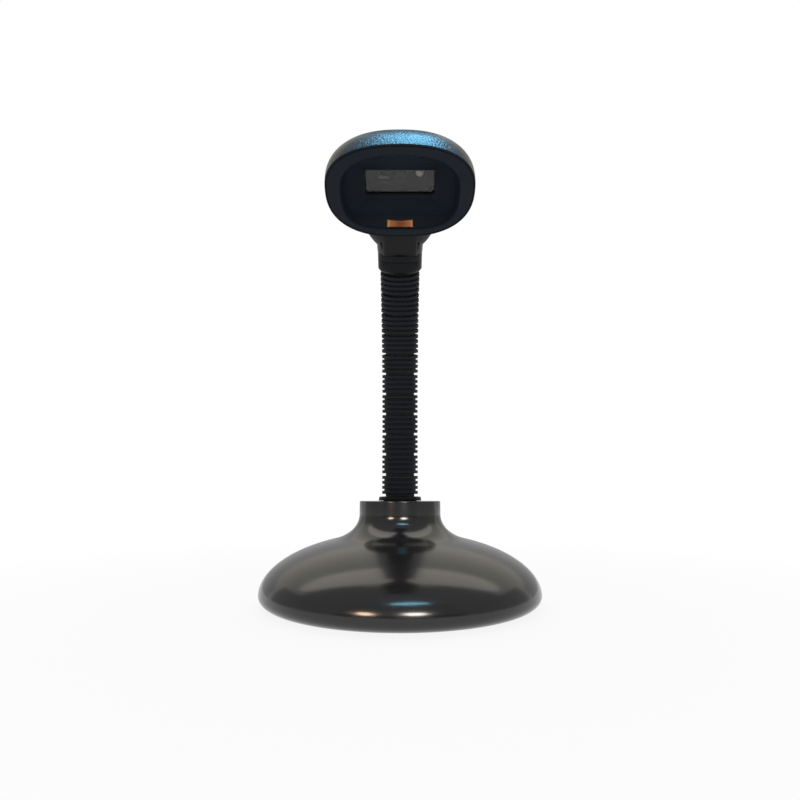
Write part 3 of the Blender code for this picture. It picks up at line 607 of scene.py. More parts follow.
class Workpiece:
    """A bmesh on the bench, which ends as one named piece riding on a body."""

    merge_distance: float = 1e-7
    sharp_deg: float = 40.0

    def __init__(self) -> None:
        """Starts an empty mesh."""
        self.bm = bmesh.new()

    def spin(self, outline: Sequence[tuple[float, float]], sides: int) -> None:
        """Turns a closed outline round the Z axis.

        Args:
            outline: Radius and height pairs round the section.
            sides: Steps of the full turn.
        """
        verts = [self.bm.verts.new((radius, 0.0, height)) for radius, height in outline]
        edges = [self.bm.edges.new(pair) for pair in zip(verts, verts[1:] + verts[:1])]
        bmesh.ops.spin(
            self.bm,
            geom=verts + edges,
            cent=(0, 0, 0),
            axis=(0, 0, 1),
            dvec=(0, 0, 0),
            angle=math.tau,
            steps=sides,
            use_merge=True,
            use_duplicate=False,
            use_normal_flip=False,
        )
        bmesh.ops.remove_doubles(self.bm, verts=self.bm.verts, dist=self.merge_distance)
        on_axis = [edge for edge in self.bm.edges if not edge.link_faces]
        bmesh.ops.delete(self.bm, geom=on_axis, context="EDGES")
        bmesh.ops.recalc_face_normals(self.bm, faces=self.bm.faces)

    def bar(self, low: Vector, high: Vector) -> None:
        """Adds a bar between two corners.

        Args:
            low: The corner with the least coordinates.
            high: The corner with the greatest.
        """
        made = bmesh.ops.create_cube(self.bm, size=1.0)["verts"]
        bmesh.ops.scale(self.bm, vec=high - low, verts=made)
        bmesh.ops.translate(self.bm, vec=(low + high) / 2, verts=made)

    def soften(self, width: float, segments: int = 2, sharper_than: float = 35.0) -> None:
        """Rounds the sharp edges.

        Args:
            width: Width of the rounding.
            segments: Steps across it.
            sharper_than: Edges that turn by more than this many degrees are rounded.
        """
        limit = math.radians(sharper_than)
        shared = [edge for edge in self.bm.edges if len(edge.link_faces) == 2]
        sharp = [edge for edge in shared if edge.calc_face_angle() > limit]
        bmesh.ops.bevel(
            self.bm,
            geom=sharp,
            offset=width,
            offset_type="OFFSET",
            segments=segments,
            profile=0.5,
            affect="EDGES",
            material=-1,
            clamp_overlap=True,
        )

    def move(self, place: Matrix) -> None:
        """Moves the whole mesh."""
        bmesh.ops.transform(self.bm, matrix=place, verts=self.bm.verts)

    def piece(
        self,
        name: str,
        finishes: Sequence[Finish],
        body: str,
        slot: str,
        nodes: Sequence[str] = (),
    ) -> None:
        """Ends the work as an object.

        Args:
            name: The piece's name.
            finishes: Its finishes, in the order of the faces' material numbers.
            body: The body it rides on.
            slot: The record's material slot; not used.
            nodes: The nodes it stands for.
        """
        mesh = bpy.data.meshes.new(name)
        self.bm.to_mesh(mesh)
        self.bm.free()
        mesh.shade_smooth()
        mesh.set_sharp_from_angle(angle=math.radians(self.sharp_deg))
        for finish in finishes:
            mesh.materials.append(finish.material())
        made = bpy.data.objects.new(name, mesh)
        bpy.context.scene.collection.objects.link(made)
        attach(made, body)
        if nodes:
            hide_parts(*nodes)
        LOG.info("%s: %d faces on %s", name, len(mesh.polygons), body)


class Loft(Workpiece):
    """A skin drawn ring by ring: a circle is extruded and each new ring is moved to its place."""

    def __init__(self, sides: int) -> None:
        """Starts with one circle of vertices that remember their angle.

        Args:
            sides: How many vertices.
        """
        super().__init__()
        self.turn = self.bm.verts.layers.float.new("turn")
        self.verts = bmesh.ops.create_circle(self.bm, segments=sides, radius=1.0)["verts"]
        for vert in self.verts:
            vert[self.turn] = math.atan2(vert.co.y, vert.co.x)
        self.edges = list({edge for vert in self.verts for edge in vert.link_edges})
        self.first = self.edges
        self.begun = False

    def ring(self, place: Placing, finish: int = 0) -> None:
        """Draws the skin on to a ring.

        Args:
            place: Gives the point of the ring at an angle.
            finish: Material number of the faces that lead to it.
        """
        if self.begun:
            made = bmesh.ops.extrude_edge_only(self.bm, edges=self.edges)["geom"]
            self.verts = [part for part in made if isinstance(part, bmesh.types.BMVert)]
            edges = [part for part in made if isinstance(part, bmesh.types.BMEdge)]
            self.edges = [edge for edge in edges if edge.is_boundary]
            for edge in self.edges:
                edge.link_faces[0].material_index = finish
        for vert in self.verts:
            vert.co = place(vert[self.turn])
        self.begun = True

    def join(self) -> None:
        """Joins the last ring to the first."""
        bmesh.ops.bridge_loops(self.bm, edges=self.edges + self.first)
        bmesh.ops.recalc_face_normals(self.bm, faces=self.bm.faces)

    def cap(self) -> None:
        """Closes both ends."""
        bmesh.ops.edgeloop_fill(self.bm, edges=self.edges)
        bmesh.ops.edgeloop_fill(self.bm, edges=self.first)
        bmesh.ops.recalc_face_normals(self.bm, faces=self.bm.faces)


def dress(finish: Finish, *names: str) -> None:
    """Gives nodes that stay in sight a finish.

    Args:
        finish: The finish.
        names: The nodes.
    """
    for name in names:
        mesh = frame["nodes"][name].data
        mesh.materials.clear()
        mesh.materials.append(finish.material())
        LOG.info("%s: node in %s", name, finish.name)


def bending_points() -> list[Matrix]:
    """Reads the neck's bending points from its sway hinges.

    Returns:
        The points' frames from base to head, each with Z along the neck.
    """
    points = []
    for joint in frame["joints"]:
        axis = Vector(joint["axis"])
        if abs(axis.x) < 0.5:
            lean = math.atan2(axis.z, axis.y)
            points.append(Matrix.Translation(joint["pos_m"]) @ Matrix.Rotation(lean, 4, "X"))
    return points


@dataclass
class BellBase:
    """The weighted base: a bell in one moulding, the bushing on top, a ribbed pad below."""

    rim_radius: float = 73.8 * MM
    rim_height: float = 6.4 * MM
    foot_radius: float = 65.2 * MM
    foot_height: float = 0.6 * MM
    dome_rise: float = 29.8 * MM
    crease_radius: float = 36.0 * MM
    cove_top: float = 45.2 * MM
    cove_sweep: float = 72.0
    ring_radius: float = 22.3 * MM
    ring_draft: float = 0.05 * MM
    ring_edge: float = 0.25 * MM
    ring_land: float = 0.3 * MM
    ring_top: float = 52.6 * MM
    ring_floor: float = 3.0 * MM
    wall: float = 2.6 * MM
    bore: float = 9.5 * MM
    opening: float = 61.5 * MM
    seat: float = 4.3 * MM
    flange_radius: float = 11.9 * MM
    flange_height: float = 2.1 * MM
    flange_taper: float = 0.4 * MM
    flange_edge: float = 0.25 * MM
    shank_radius: float = 9.2 * MM
    shank_length: float = 12.0 * MM
    gap: float = 0.3 * MM
    cup_lip: float = 8.0
    cup_edge: tuple[float, float] = (8.43 * MM, 0.62 * MM)
    pad_radius: float = 60.0 * MM
    pad_thickness: float = 1.3 * MM
    pad_edge: float = 0.3 * MM
    pad_grooves: int = 9
    groove_halves: tuple[float, float] = (0.9 * MM, 0.5 * MM)
    groove_depth: float = 0.5 * MM
    lining_end: float = 12.0
    bell_sides: int = 192
    bush_sides: int = 96
    pad_sides: int = 128

    def cove(self, wall: float, steps: int) -> Outline:
        """The cove between dome and ring.

        Args:
            wall: How far inside the surface.
            steps: How many chords.

        Returns:
            The outline from the crease up.
        """
        share = self.crease_radius / self.rim_radius
        crease = self.rim_height + self.dome_rise * math.sqrt(1 - share**2)
        side = self.ring_radius + self.ring_draft
        sweep = math.radians(self.cove_sweep)
        width = (self.crease_radius - side) / (1 - math.cos(sweep))
        height = (self.cove_top - crease) / math.sin(sweep)
        middle = (side + width, self.cove_top)
        return arc(middle, (width + wall, height + wall), 180 + self.cove_sweep, 180, steps)

    def outline(self) -> Outline:
        """The bell's section.

        Returns:
            The outside from the foot up to the ring, then back down the inside.
        """
        rim = arc(
            (self.foot_radius, self.rim_height),
            (self.rim_radius - self.foot_radius, self.rim_height - self.foot_height),
            -90,
            0,
            12,
        )
        turn = math.degrees(math.acos(self.crease_radius / self.rim_radius))
        dome = arc((0, self.rim_height), (self.rim_radius, self.dome_rise), 0, turn, 30)
        edge = self.ring_edge
        # A narrow land at each end of the ring's wall keeps its shading flat in between
        wall = [
            (self.ring_radius + self.ring_draft, self.cove_top + self.ring_land),
            (self.ring_radius, self.ring_top - edge - self.ring_land),
        ]
        ring = arc((self.ring_radius - edge, self.ring_top - edge), (edge, edge), 0, 90, 5)
        inner = self.rim_radius - self.wall
        turn_in = math.degrees(math.acos(self.crease_radius / inner))
        height = self.dome_rise - self.wall
        lining = arc((0, self.rim_height), (inner, height), turn_in, self.lining_end, 10)
        shelf = self.ring_top - self.ring_floor
        inside = [
            (self.bore, self.ring_top),
            (self.bore, shelf),
            (self.ring_radius - self.wall, shelf),
            *reversed(self.cove(self.wall, 8)),
            *lining[1:],
            (self.opening, self.seat),
            (self.opening, self.foot_height),
        ]
        return rim + dome[1:] + self.cove(0.0, 18)[1:] + wall + ring + inside

    def build_bell(self) -> None:
        """The gloss bell."""
        work = Workpiece()
        work.spin(self.outline(), self.bell_sides)
        work.piece("base_bell", [BASE_ABS], "base", "satin_black_plastic", ["base_shell"])

    def build_bushing(self, first: Matrix) -> None:
        """The flanged bushing that the gooseneck stands in.

        Args:
            first: The lowest bending point's frame.
        """
        bottom = self.ring_top + self.gap
        top = bottom + self.flange_height
        low = bottom - self.shank_length
        centre = first.translation.z
        inward = [self.cup_edge, *reversed(ball_cup(self.cup_lip))]
        work = Workpiece()
        work.spin(
            [
                (self.shank_radius, low),
                (self.shank_radius, bottom),
                (self.flange_radius, bottom),
                (self.flange_radius - self.flange_taper, top),
                *[(radius, centre - drop) for radius, drop in inward],
                (CUP_BORE, low),
            ],
            self.bush_sides,
        )
        work.soften(self.flange_edge)
        work.piece("neck_bush", [COLLAR_ABS], "base", "satin_black_plastic", ["neck_bushing"])

    def build_pad(self) -> None:
        """The rubber pad with its rings of grip grooves."""
        pitch = self.pad_radius / (self.pad_grooves + 1)
        mouth, floor = self.groove_halves
        outline = [(0.0, self.pad_thickness), (0.0, 0.0)]
        for i in range(1, self.pad_grooves + 1):
            middle = i * pitch
            outline += [
                (middle - mouth, 0.0),
                (middle - floor, self.groove_depth),
                (middle + floor, self.groove_depth),
                (middle + mouth, 0.0),
            ]
        outline += [
            (self.pad_radius - self.pad_edge, 0.0),
            (self.pad_radius, self.pad_edge),
            (self.pad_radius, self.pad_thickness),
        ]
        work = Workpiece()
        work.spin(outline, self.pad_sides)
        work.piece("grip_pad", [PAD_RUBBER], "base", "rubber", ["rubber_pad"])

    def build(self, first: Matrix) -> None:
        """Makes and dresses the base.

        Args:
            first: The lowest bending point's frame.
        """
        self.build_bell()
        self.build_bushing(first)
        self.build_pad()
        dress(CAST_IRON, "base_weight")
        dress(BLACK_OXIDE, "bottom_plate")
        dress(ZINC, "plate_screw_1", "plate_screw_2", "plate_screw_3", "neck_nut")


@dataclass
class Gooseneck:
    """The bending neck: ribbed sleeve sections over phosphated core links."""

    radius: float = 10.0 * MM
    swell: float = 0.08 * MM
    straight_sections: int = 6
    pitch: float = 2.84 * MM
    ribs: int = 4
    rib_depth: float = 1.15 * MM
    groove: float = 1.0 * MM
    joint_gap: float = 1.34 * MM
    rib_round: float = 0.35 * MM
    rib_slant: float = 0.1 * MM
    cup_lip: float = 5.0
    sides: int = 96

    def outline(self, radius: float) -> Outline:
        """A sleeve section cut open: rounded ribs outside, a ball cup at each end inside.

        Args:
            radius: The ribs' radius.

        Returns:
            The closed outline.
        """
        length = self.pitch * self.ribs
        crest = (length - self.joint_gap - (self.ribs - 1) * self.groove) / self.ribs
        turn = self.rib_round
        floor = radius - self.rib_depth
        outside = []
        for i in range(self.ribs):
            low = self.joint_gap / 2 + i * (crest + self.groove)
            outside.append((floor, low + self.rib_slant))
            outside += arc((radius - turn, low + turn), (turn, turn), -90, 0, 4)
            outside += arc((radius - turn, low + crest - turn), (turn, turn), 0, 90, 4)
            outside.append((floor, low + crest - self.rib_slant))
        lower = ball_cup(self.cup_lip)
        upper = [(wide, length - height) for wide, height in reversed(lower)]
        return outside + upper + lower

    def build(self, points: Sequence[Matrix]) -> None:
        """Makes every section along its own arc and dresses the links.

        Args:
            points: The frames of the bending points.
        """
        length = self.pitch * self.ribs
        for i, (here, there) in enumerate(zip(points, points[1:]), start=1):
            bend = there.to_euler().x - here.to_euler().x
            sweep = length / bend
            swell = self.swell * max(0, i - self.straight_sections)
            work = Workpiece()
            work.spin(self.outline(self.radius + swell), self.sides)
            for vert in work.bm.verts:
                # The cups and the ends keep square to their bending point: what lies between bends
                end = length * round(vert.co.z / length)
                in_cup = vert.co.xy.length <= CUP_RADIUS
                stiff = in_cup or abs(vert.co.z - end) < self.joint_gap
                start = end if stiff else vert.co.z
                lean = bend * start / length
                middle = Vector((0, sweep * (math.cos(lean) - 1), sweep * math.sin(lean)))
                vert.co.z -= start
                vert.co = middle + Matrix.Rotation(lean, 3, "X") @ vert.co
            work.move(here)
            work.piece(
                f"neck_sleeve_{i:02d}",
                [SLEEVE_PVC],
                f"sleeve_{i:02d}",
                "black_sleeve",
                [f"sleeve_section_{i:02d}"],
            )
        dress(PHOSPHATE, *[f"core_link_{i:02d}" for i in range(1, len(points) + 1)])


@dataclass
class Collar:
    """What holds the head to the neck: ferrule, lock ring, open fork and the head's stem."""

    radius: float = 11.5 * MM
    nose: float = 10.5 * MM
    nose_start: float = 0.82 * MM
    nose_lip: tuple[float, float] = (8.6 * MM, 0.62 * MM)
    cup_lip: float = 5.0
    chamfer: float = 1.3 * MM
    ferrule_edge: float = 0.2 * MM
    ferrule_end: float = 7.05 * MM
    ring_end: float = 10.5 * MM
    ring_bore: float = 9.4 * MM
    ring_edge: float = 0.12 * MM
    seam: float = 0.1 * MM
    spigot: float = 9.1 * MM
    tail_radius: float = 5.7 * MM
    tail_length: float = 1.4 * MM
    fork_end: float = 15.8 * MM
    fork_radius: float = 11.65 * MM
    fork_flare: float = 0.35 * MM
    fork_edge: float = 0.1 * MM
    fork_wall: float = 1.5 * MM
    slot: float = 8.9 * MM
    stem_radius: float = 8.86 * MM
    stem_front: float = 10.5 * MM
    stem_squareness: float = 10.0
    stem_edge: float = 0.12 * MM
    stem_gap: float = 0.03 * MM
    stem_shoulder: float = 18.8 * MM
    tongue_back: float = 9.15 * MM
    tongue_end: float = 24.4 * MM
    stem_thread: float = 6.0 * MM
    stem_end: float = 24.8 * MM
    sides: int = 96
    tongue_sides: int = 64
    fork_steps: tuple[int, int] = (72, 48)

    def build_turned(self, place: Matrix) -> None:
        """Ferrule and lock ring, turned on the lathe.

        Args:
            place: The last bending point's frame.
        """
        ferrule = Workpiece()
        ferrule.spin(
            [
                (self.nose, self.nose_start),
                (self.radius, self.nose_start + self.chamfer),
                (self.radius, self.ferrule_end),
                (CUP_BORE, self.ferrule_end),
                *ball_cup(self.cup_lip),
                self.nose_lip,
            ],
            self.sides,
        )
        ferrule.soften(self.ferrule_edge)
        ferrule.move(place)
        ferrule.piece(
            "collar_ferrule", [COLLAR_ABS], "head", "satin_black_plastic", ["neck_ferrule"]
        )
        ring = Workpiece()
        ring.spin(
            [
                (self.radius, self.ferrule_end + self.seam),
                (self.radius, self.ring_end),
                (self.ring_bore, self.ring_end),
                (self.ring_bore, self.ferrule_end + self.seam),
            ],
            self.sides,
        )
        ring.soften(self.ring_edge, 3)
        ring.move(place)
        ring.piece("collar_ring", [COLLAR_ABS], "head", "satin_black_plastic", ["lock_ring"])

    def stem_ring(self, height: float, inset: float = 0.0) -> Placing:
        """The stem's section in the fork: round at the back, square with soft corners in front.

        Args:
            height: Its height above the bending point.
            inset: How far inside the stem's surface.

        Returns:
            The ring.
        """

        def at(turn: float) -> Vector:
            """The point at one angle.

            Args:
                turn: The angle.

            Returns:
                The point.
            """
            across, deep = math.cos(turn), math.sin(turn)
            power, reach = 2.0, self.stem_radius
            if deep < 0:
                power, reach = self.stem_squareness, self.stem_front
            grow = squared(across, deep, power)
            wide = (self.stem_radius - inset) * across * grow
            return Vector((wide, (reach - inset) * deep * grow, height))

        return at

    def thread_ring(self, height: float) -> Placing:
        """The round section of the stem's thread."""
        return lambda turn: Vector(
            (self.stem_thread * math.cos(turn), self.stem_thread * math.sin(turn), height)
        )

    def tongue_ring(self, height: float) -> Placing:
        """The section of the tongue that runs up flush with the stem's front, flat at the back.

        Args:
            height: Its height above the bending point.

        Returns:
            The ring.
        """
        power = self.stem_squareness
        share = self.tongue_back / self.stem_front
        half_width = self.stem_radius * (1 - share**power) ** (1 / power)

        def at(turn: float) -> Vector:
            """The point at one angle.

            Args:
                turn: The angle.

            Returns:
                The point.
            """
            x = half_width * math.cos(turn)
            bow = (1 - abs(x / self.stem_radius) ** power) ** (1 / power)
            return Vector((x, -self.tongue_back if turn >= 0 else -self.stem_front * bow, height))

        return at

    def build_stem(self, place: Matrix) -> None:
        """The head's stem: a column that fills the fork's open front, threaded at its top.

        Args:
            place: The last bending point's frame.
        """
        edge = self.stem_edge
        bulge = edge * 0.3
        low = self.ring_end + self.stem_gap
        work = Loft(self.sides)
        work.ring(self.stem_ring(low, edge))
        work.ring(self.stem_ring(low + bulge, bulge))
        work.ring(self.stem_ring(low + edge))
        work.ring(self.stem_ring(self.stem_shoulder - edge))
        work.ring(self.stem_ring(self.stem_shoulder, edge))
        for height in (self.stem_shoulder, self.stem_end):
            work.ring(self.thread_ring(height))
        work.cap()
        work.move(place)
        tongue = Loft(self.tongue_sides)
        for height in (self.stem_shoulder - edge, self.tongue_end):
            tongue.ring(self.tongue_ring(height))
        tongue.cap()
        tongue.move(place)
        tongue.piece("stem_tongue", [STEM_ABS], "head", "satin_black_plastic")
        work.piece("stem_column", [STEM_ABS], "head", "satin_black_plastic", ["head_stem"])

    def build_fork(self, place: Matrix) -> None:
        """The fork: a round wall, open to the front, round the back of the stem.

        Args:
            place: The last bending point's frame.
        """
        work = Workpiece()
        bottom = self.ring_end + self.seam
        tip = math.sqrt(self.fork_radius**2 - self.slot**2)
        outer = work.bm.verts.new((self.slot, -tip, bottom))
        inner = work.bm.verts.new((self.slot, 0.0, bottom))
        wrap = math.pi + 2 * math.atan2(tip, self.slot)
        ends = []
        for vert, angle, steps in zip((outer, inner), (wrap, math.pi), self.fork_steps):
            swept = bmesh.ops.spin(
                work.bm, geom=[vert], cent=(0, 0, 0), axis=(0, 0, 1), angle=angle, steps=steps
            )["geom_last"]
            ends.append(next(part for part in swept if isinstance(part, bmesh.types.BMVert)))
        work.bm.edges.new((outer, inner))
        work.bm.edges.new(ends)
        floor = bmesh.ops.edgeloop_fill(work.bm, edges=work.bm.edges)["faces"]
        wall = bmesh.ops.extrude_face_region(work.bm, geom=floor)["geom"]
        top = [part for part in wall if isinstance(part, bmesh.types.BMVert)]
        spread = 1 + self.fork_flare / self.fork_radius
        bmesh.ops.translate(work.bm, vec=(0, 0, self.fork_end - bottom), verts=top)
        far = [vert for vert in top if vert.co.xy.length > self.slot + self.fork_wall]
        bmesh.ops.scale(work.bm, vec=(spread, spread, 1), verts=far)
        bmesh.ops.recalc_face_normals(work.bm, faces=work.bm.faces)
        work.soften(self.fork_edge)
        start = self.ferrule_end + self.seam
        tail = [
            (0.0, start - self.tail_length),
            (self.tail_radius, start - self.tail_length),
            (self.tail_radius, start),
            (self.spigot, start),
            (self.spigot, bottom),
            (0.0, bottom),
        ]
        work.spin(tail, self.sides)
        work.move(place)
        work.piece("stem_yoke", [FORK_ABS], "head", "satin_black_plastic", ["stem_fork"])

    def build(self, place: Matrix) -> None:
        """Makes and dresses the collar.

        Args:
            place: The last bending point's frame.
        """
        self.build_turned(place)
        self.build_stem(place)
        self.build_fork(place)
        dress(ZINC, "stem_nut")


@dataclass
class ScanHead:
    """The scan head: textured shell, slate bezel, window, light pipe and what sits behind them."""

    axis_rise: float = 45.9 * MM
    tip: float = 8.0
    reach: float = 21.2 * MM
    half_width: float = 34.0 * MM
    heights: tuple[float, float] = (18.6 * MM, 21.8 * MM)
    power: float = 2.4
    crest_depth: float = 10.0 * MM
    crest_rise: float = 2.9 * MM
    side_swell: float = 0.75 * MM
    depth: float = 49.0 * MM
    taper: float = 2.0
    seam: float = 3.35 * MM
    seam_gap: float = 0.02 * MM
    edge_round: float = 0.5 * MM
    rim_groove: tuple[float, float] = (0.5 * MM, 0.35 * MM)
    mouth_round: float = 0.9 * MM
    shell_wall: float = 1.6 * MM
    shell_short: float = 0.4 * MM
    shell_steps: int = 36
    lining_mm: tuple[float, ...] = (43.0, 36.0, 28.0, 18.0, 10.0, 6.0)
    port_half_width: float = 4.6 * MM
    port_half_height: float = 1.7 * MM
    port_power: float = 4.0
    port_drop: float = 1.4 * MM
    port_rings: Rings = ((0.9, 48.6), (0.45, 48.4), (0.3, 47.9), (0.3, 44.0))
    bezel_wall: float = 1.9 * MM
    bezel_back: float = 7.2 * MM
    bezel_shelf: float = 3.5 * MM
    lip_wall: tuple[float, float] = (2.8 * MM, 1.6 * MM)
    boss_bottom: float = 14.4 * MM
    boss_height: float = 16.0 * MM
    boss_radii: tuple[float, float] = (12.0 * MM, 19.0 * MM)
    boss_front: float = 9.0 * MM
    boss_start: float = -50.0
    boss_skip: float = 1.5
    boss_end: float = -4.0
    boss_chamfer: float = 0.4 * MM
    boss_flattening: float = 0.25
    boss_sides: int = 96
    mouth_half_width: float = 27.0 * MM
    mouth_heights: tuple[float, float] = (14.0 * MM, 17.9 * MM)
    mouth_powers: tuple[float, float] = (2.35, 3.3)
    lip_depth: float = 6.2 * MM
    lip_half_width: float = 25.6 * MM
    lip_heights: tuple[float, float] = (11.4 * MM, 13.3 * MM)
    lip_powers: tuple[float, float] = (2.6, 6.0)
    lip_steps: int = 7
    crease_shares: tuple[float, float] = (0.98, 0.03)
    hood_rise: float = 2.0 * MM
    hood_half_width: float = 9.5 * MM
    bowl_sweep: float = 20.0
    bowl_steps: int = 16
    frame_depth: float = 16.0 * MM
    frame_margins: tuple[float, float, float] = (0.5 * MM, 0.4 * MM, 1.8 * MM)
    frame_land: float = 0.35 * MM
    window_half_width: float = 16.5 * MM
    window_half_height: float = 5.3 * MM
    window_drop: float = 1.0 * MM
    window_corners: tuple[float, float] = (0.3 * MM, 1.4 * MM)
    seat_rings: Rings = (
        (0.15, 16.8),
        (0.0, 17.1),
        (0.0, 17.9),
        (1.7, 17.9),
        (1.7, 20.0),
        (6.9, 20.0),
    )
    pane_rings: Rings = ((1.25, 18.2), (1.4, 18.35), (1.4, 19.55), (1.25, 19.7))
    pipe_width: float = 12.2 * MM
    pipe_height: float = 2.2 * MM
    pipe_hollow: float = 0.35 * MM
    pipe_edge: float = 0.2 * MM
    pipe_cuts: int = 15
    pipe_proud: float = 0.3 * MM
    pipe_drop: float = 16.0 * MM
    pipe_back: float = 9.0 * MM
    flange_width: float = 0.35 * MM
    flange_proud: float = 0.08 * MM
    flange_back: float = 6.0 * MM
    led_radius: float = 1.95 * MM
    led_rise: float = 0.9 * MM
    led_place: tuple[float, float, float] = (9.5 * MM, 22.1 * MM, 2.2 * MM)
    led_top: float = 3.1 * MM
    led_sides: int = 48
    slit_low: tuple[float, float, float] = (-10.4 * MM, 22.0 * MM, -2.9 * MM)
    slit_high: tuple[float, float, float] = (-5.5 * MM, 23.1 * MM, -2.0 * MM)
    slit_edge: float = 0.15 * MM
    sides: int = 288
    place: Matrix = field(default_factory=Matrix)

    def outer(self, depth: float, inset: float = 0.0) -> Placing:
        """The head's outline at a depth behind the rim.

        Args:
            depth: Depth behind the rim's face.
            inset: How far inside the outline.

        Returns:
            The ring.
        """
        if depth < self.crest_depth:
            swell = math.sin(math.pi / 2 * depth / self.crest_depth)
            close = 1.0
        else:
            swell = 1.0
            share = (depth - self.crest_depth) / (self.depth - self.crest_depth)
            close = (1 - share**self.taper) ** (1 / self.taper)
        top = (self.heights[0] + self.crest_rise * swell) * close
        low = self.heights[1] * close
        return oblong(
            (self.half_width + self.side_swell * swell) * close - inset,
            (top - inset, low - inset),
            depth - self.reach,
            (self.power, self.power),
        )

    def mouth(self, margin: float, depth: float) -> Placing:
        """The mouth's outline, grown by a margin."""
        top, low = self.mouth_heights
        return oblong(
            self.mouth_half_width + margin,
            (top + margin, low + margin),
            depth - self.reach,
            self.mouth_powers,
        )

    def lip(self, margin: float = 0.0, depth: float = 0.0) -> Placing:
        """The lip's crease, arched over the window.

        Args:
            margin: How far outside the crease.
            depth: How far behind the crease.

        Returns:
            The ring.
        """
        top, low = self.lip_heights
        plain = oblong(
            self.lip_half_width + margin,
            (top + margin, low + margin),
            self.lip_depth + depth - self.reach,
            self.lip_powers,
        )

        def arched(turn: float) -> Vector:
            """The point at one angle, raised under the hood.

            Args:
                turn: The angle.

            Returns:
                The point.
            """
            point = plain(turn)
            if point.z > 0:
                point.z += self.hood_rise * max(0.0, 1 - (point.x / self.hood_half_width) ** 2)
            return point

        return arched

    def window_frame(self, inset: float = 0.0) -> Placing:
        """The window frame's edge, where the bowl ends: a ledge below, close on the other sides.

        Args:
            inset: How far inside the edge.

        Returns:
            The ring.
        """
        side, top, low = (margin - inset for margin in self.frame_margins)
        return panel(
            self.window_half_width + side,
            self.window_half_height + (top + low) / 2,
            (self.window_corners[0] + top, self.window_corners[1] + side),
            self.frame_depth - self.reach,
            -self.window_drop - (low - top) / 2,
        )

    def bowl(self, share: float) -> Placing:
        """The bowl from the lip's crease to the window frame.

        Args:
            share: How far along its curve.

        Returns:
            The ring.
        """
        sweep = math.radians(self.bowl_sweep)
        inward = (1 - math.cos(sweep * share)) / (1 - math.cos(sweep))
        back = math.sin(sweep * share) / math.sin(sweep)
        first, last = self.lip(), self.window_frame()

        def place(turn: float) -> Vector:
            """The point at one angle.

            Args:
                turn: The angle.

            Returns:
                The point.
            """
            start, end = first(turn), last(turn)
            point = start.lerp(end, inward)
            point.y = start.y + (end.y - start.y) * back
            return point

        return place

    def window(self, margin: float, depth: float) -> Placing:
        """The window's outline, grown by a margin."""
        upper, lower = self.window_corners
        return panel(
            self.window_half_width + margin,
            self.window_half_height + margin,
            (upper + margin, lower + margin),
            depth - self.reach,
            -self.window_drop,
        )

    def build_shell(self) -> None:
        """The textured shell, closed at the back round the port's opening."""
        work = Loft(self.sides)
        start = self.seam + self.seam_gap
        end = self.depth - self.shell_short
        work.ring(self.outer(start, self.shell_wall))
        work.ring(self.outer(start))
        for i in range(1, self.shell_steps + 1):
            share = math.sin(math.pi / 2 * i / self.shell_steps)
            work.ring(self.outer(start + (end - start) * share))
        for margin, depth in self.port_rings:
            work.ring(self.port(margin * MM, depth * MM))
        for depth in self.lining_mm:
            work.ring(self.outer(depth * MM, self.shell_wall))
        work.join()
        work.move(self.place)
        work.piece("head_shell", [HEAD_ABS], "head", "textured_black_plastic", ["rear_shell"])

    def port(self, margin: float, depth: float) -> Placing:
        """The port's oblong, grown by a margin."""
        return oblong(
            self.port_half_width + margin,
            (self.port_half_height + margin,) * 2,
            depth - self.reach,
            (self.port_power,) * 2,
            -self.port_drop,
        )

    def build_boss(self, collar: Matrix) -> None:
        """The rounded boss under the head that takes the stem.

        Args:
            collar: The collar's frame.
        """
        low, high = self.boss_radii
        work = Loft(self.boss_sides)

        def level(radius: float, height: float) -> Placing:
            """One level of the boss: as wide as the fork below, flatter in front.

            Args:
                radius: Half its width.
                height: Its height above the bending point.

            Returns:
                The ring.
            """
            growth = (radius - low) * self.boss_flattening

            def at(turn: float) -> Vector:
                """The point at one angle."""
                deep = (self.boss_front if math.sin(turn) < 0 else low) + growth
                return Vector((radius * math.cos(turn), deep * math.sin(turn), height))

            return at

        start = math.radians(self.boss_start)
        width = (high - low) / (1 - math.cos(start))
        rise = self.boss_height / -math.sin(start)
        middle = (high - width, self.boss_bottom + self.boss_height)
        work.ring(level(low - self.boss_chamfer, self.boss_bottom))
        first = self.boss_start + self.boss_skip
        for radius, height in arc(middle, (width, rise), first, self.boss_end, 20):
            work.ring(level(radius, height))
        work.cap()
        work.move(collar)
        work.piece("head_boss", [HEAD_ABS], "head", "textured_black_plastic")

    def build_bezel(self) -> None:
        """The slate bezel: rounded rim, sloping lip, bowl and window frame."""
        work = Loft(self.sides)
        # The bowl's finish is the slate in a lighter pigment, painted light against the shade
        # inside the bowl
        finishes = [BEZEL_ABS, HEAD_ABS, BOWL_ABS_PAINTED_LIGHT]
        rim, side, bowl = range(len(finishes))
        seam = self.seam - self.seam_gap
        work.ring(self.outer(seam, self.bezel_wall))
        work.ring(self.outer(seam), side)
        work.ring(self.outer(self.seam / 2), side)
        for i, (depth, inset) in enumerate(self.rounding(self.edge_round)):
            work.ring(self.outer(depth, inset), side if i < 2 else rim)
        wide, deep = self.rim_groove
        for share, depth in ((0.25, deep), (0.75, deep), (1.0, 0.0)):
            work.ring(self.outer(depth, self.edge_round + wide * share))
        for margin, depth in self.rounding(self.mouth_round):
            work.ring(self.mouth(margin, depth))
        mouth, lip = self.mouth(0.0, self.mouth_round), self.lip()
        for i in range(1, self.lip_steps):
            work.ring(self.between(mouth, lip, i / self.lip_steps))
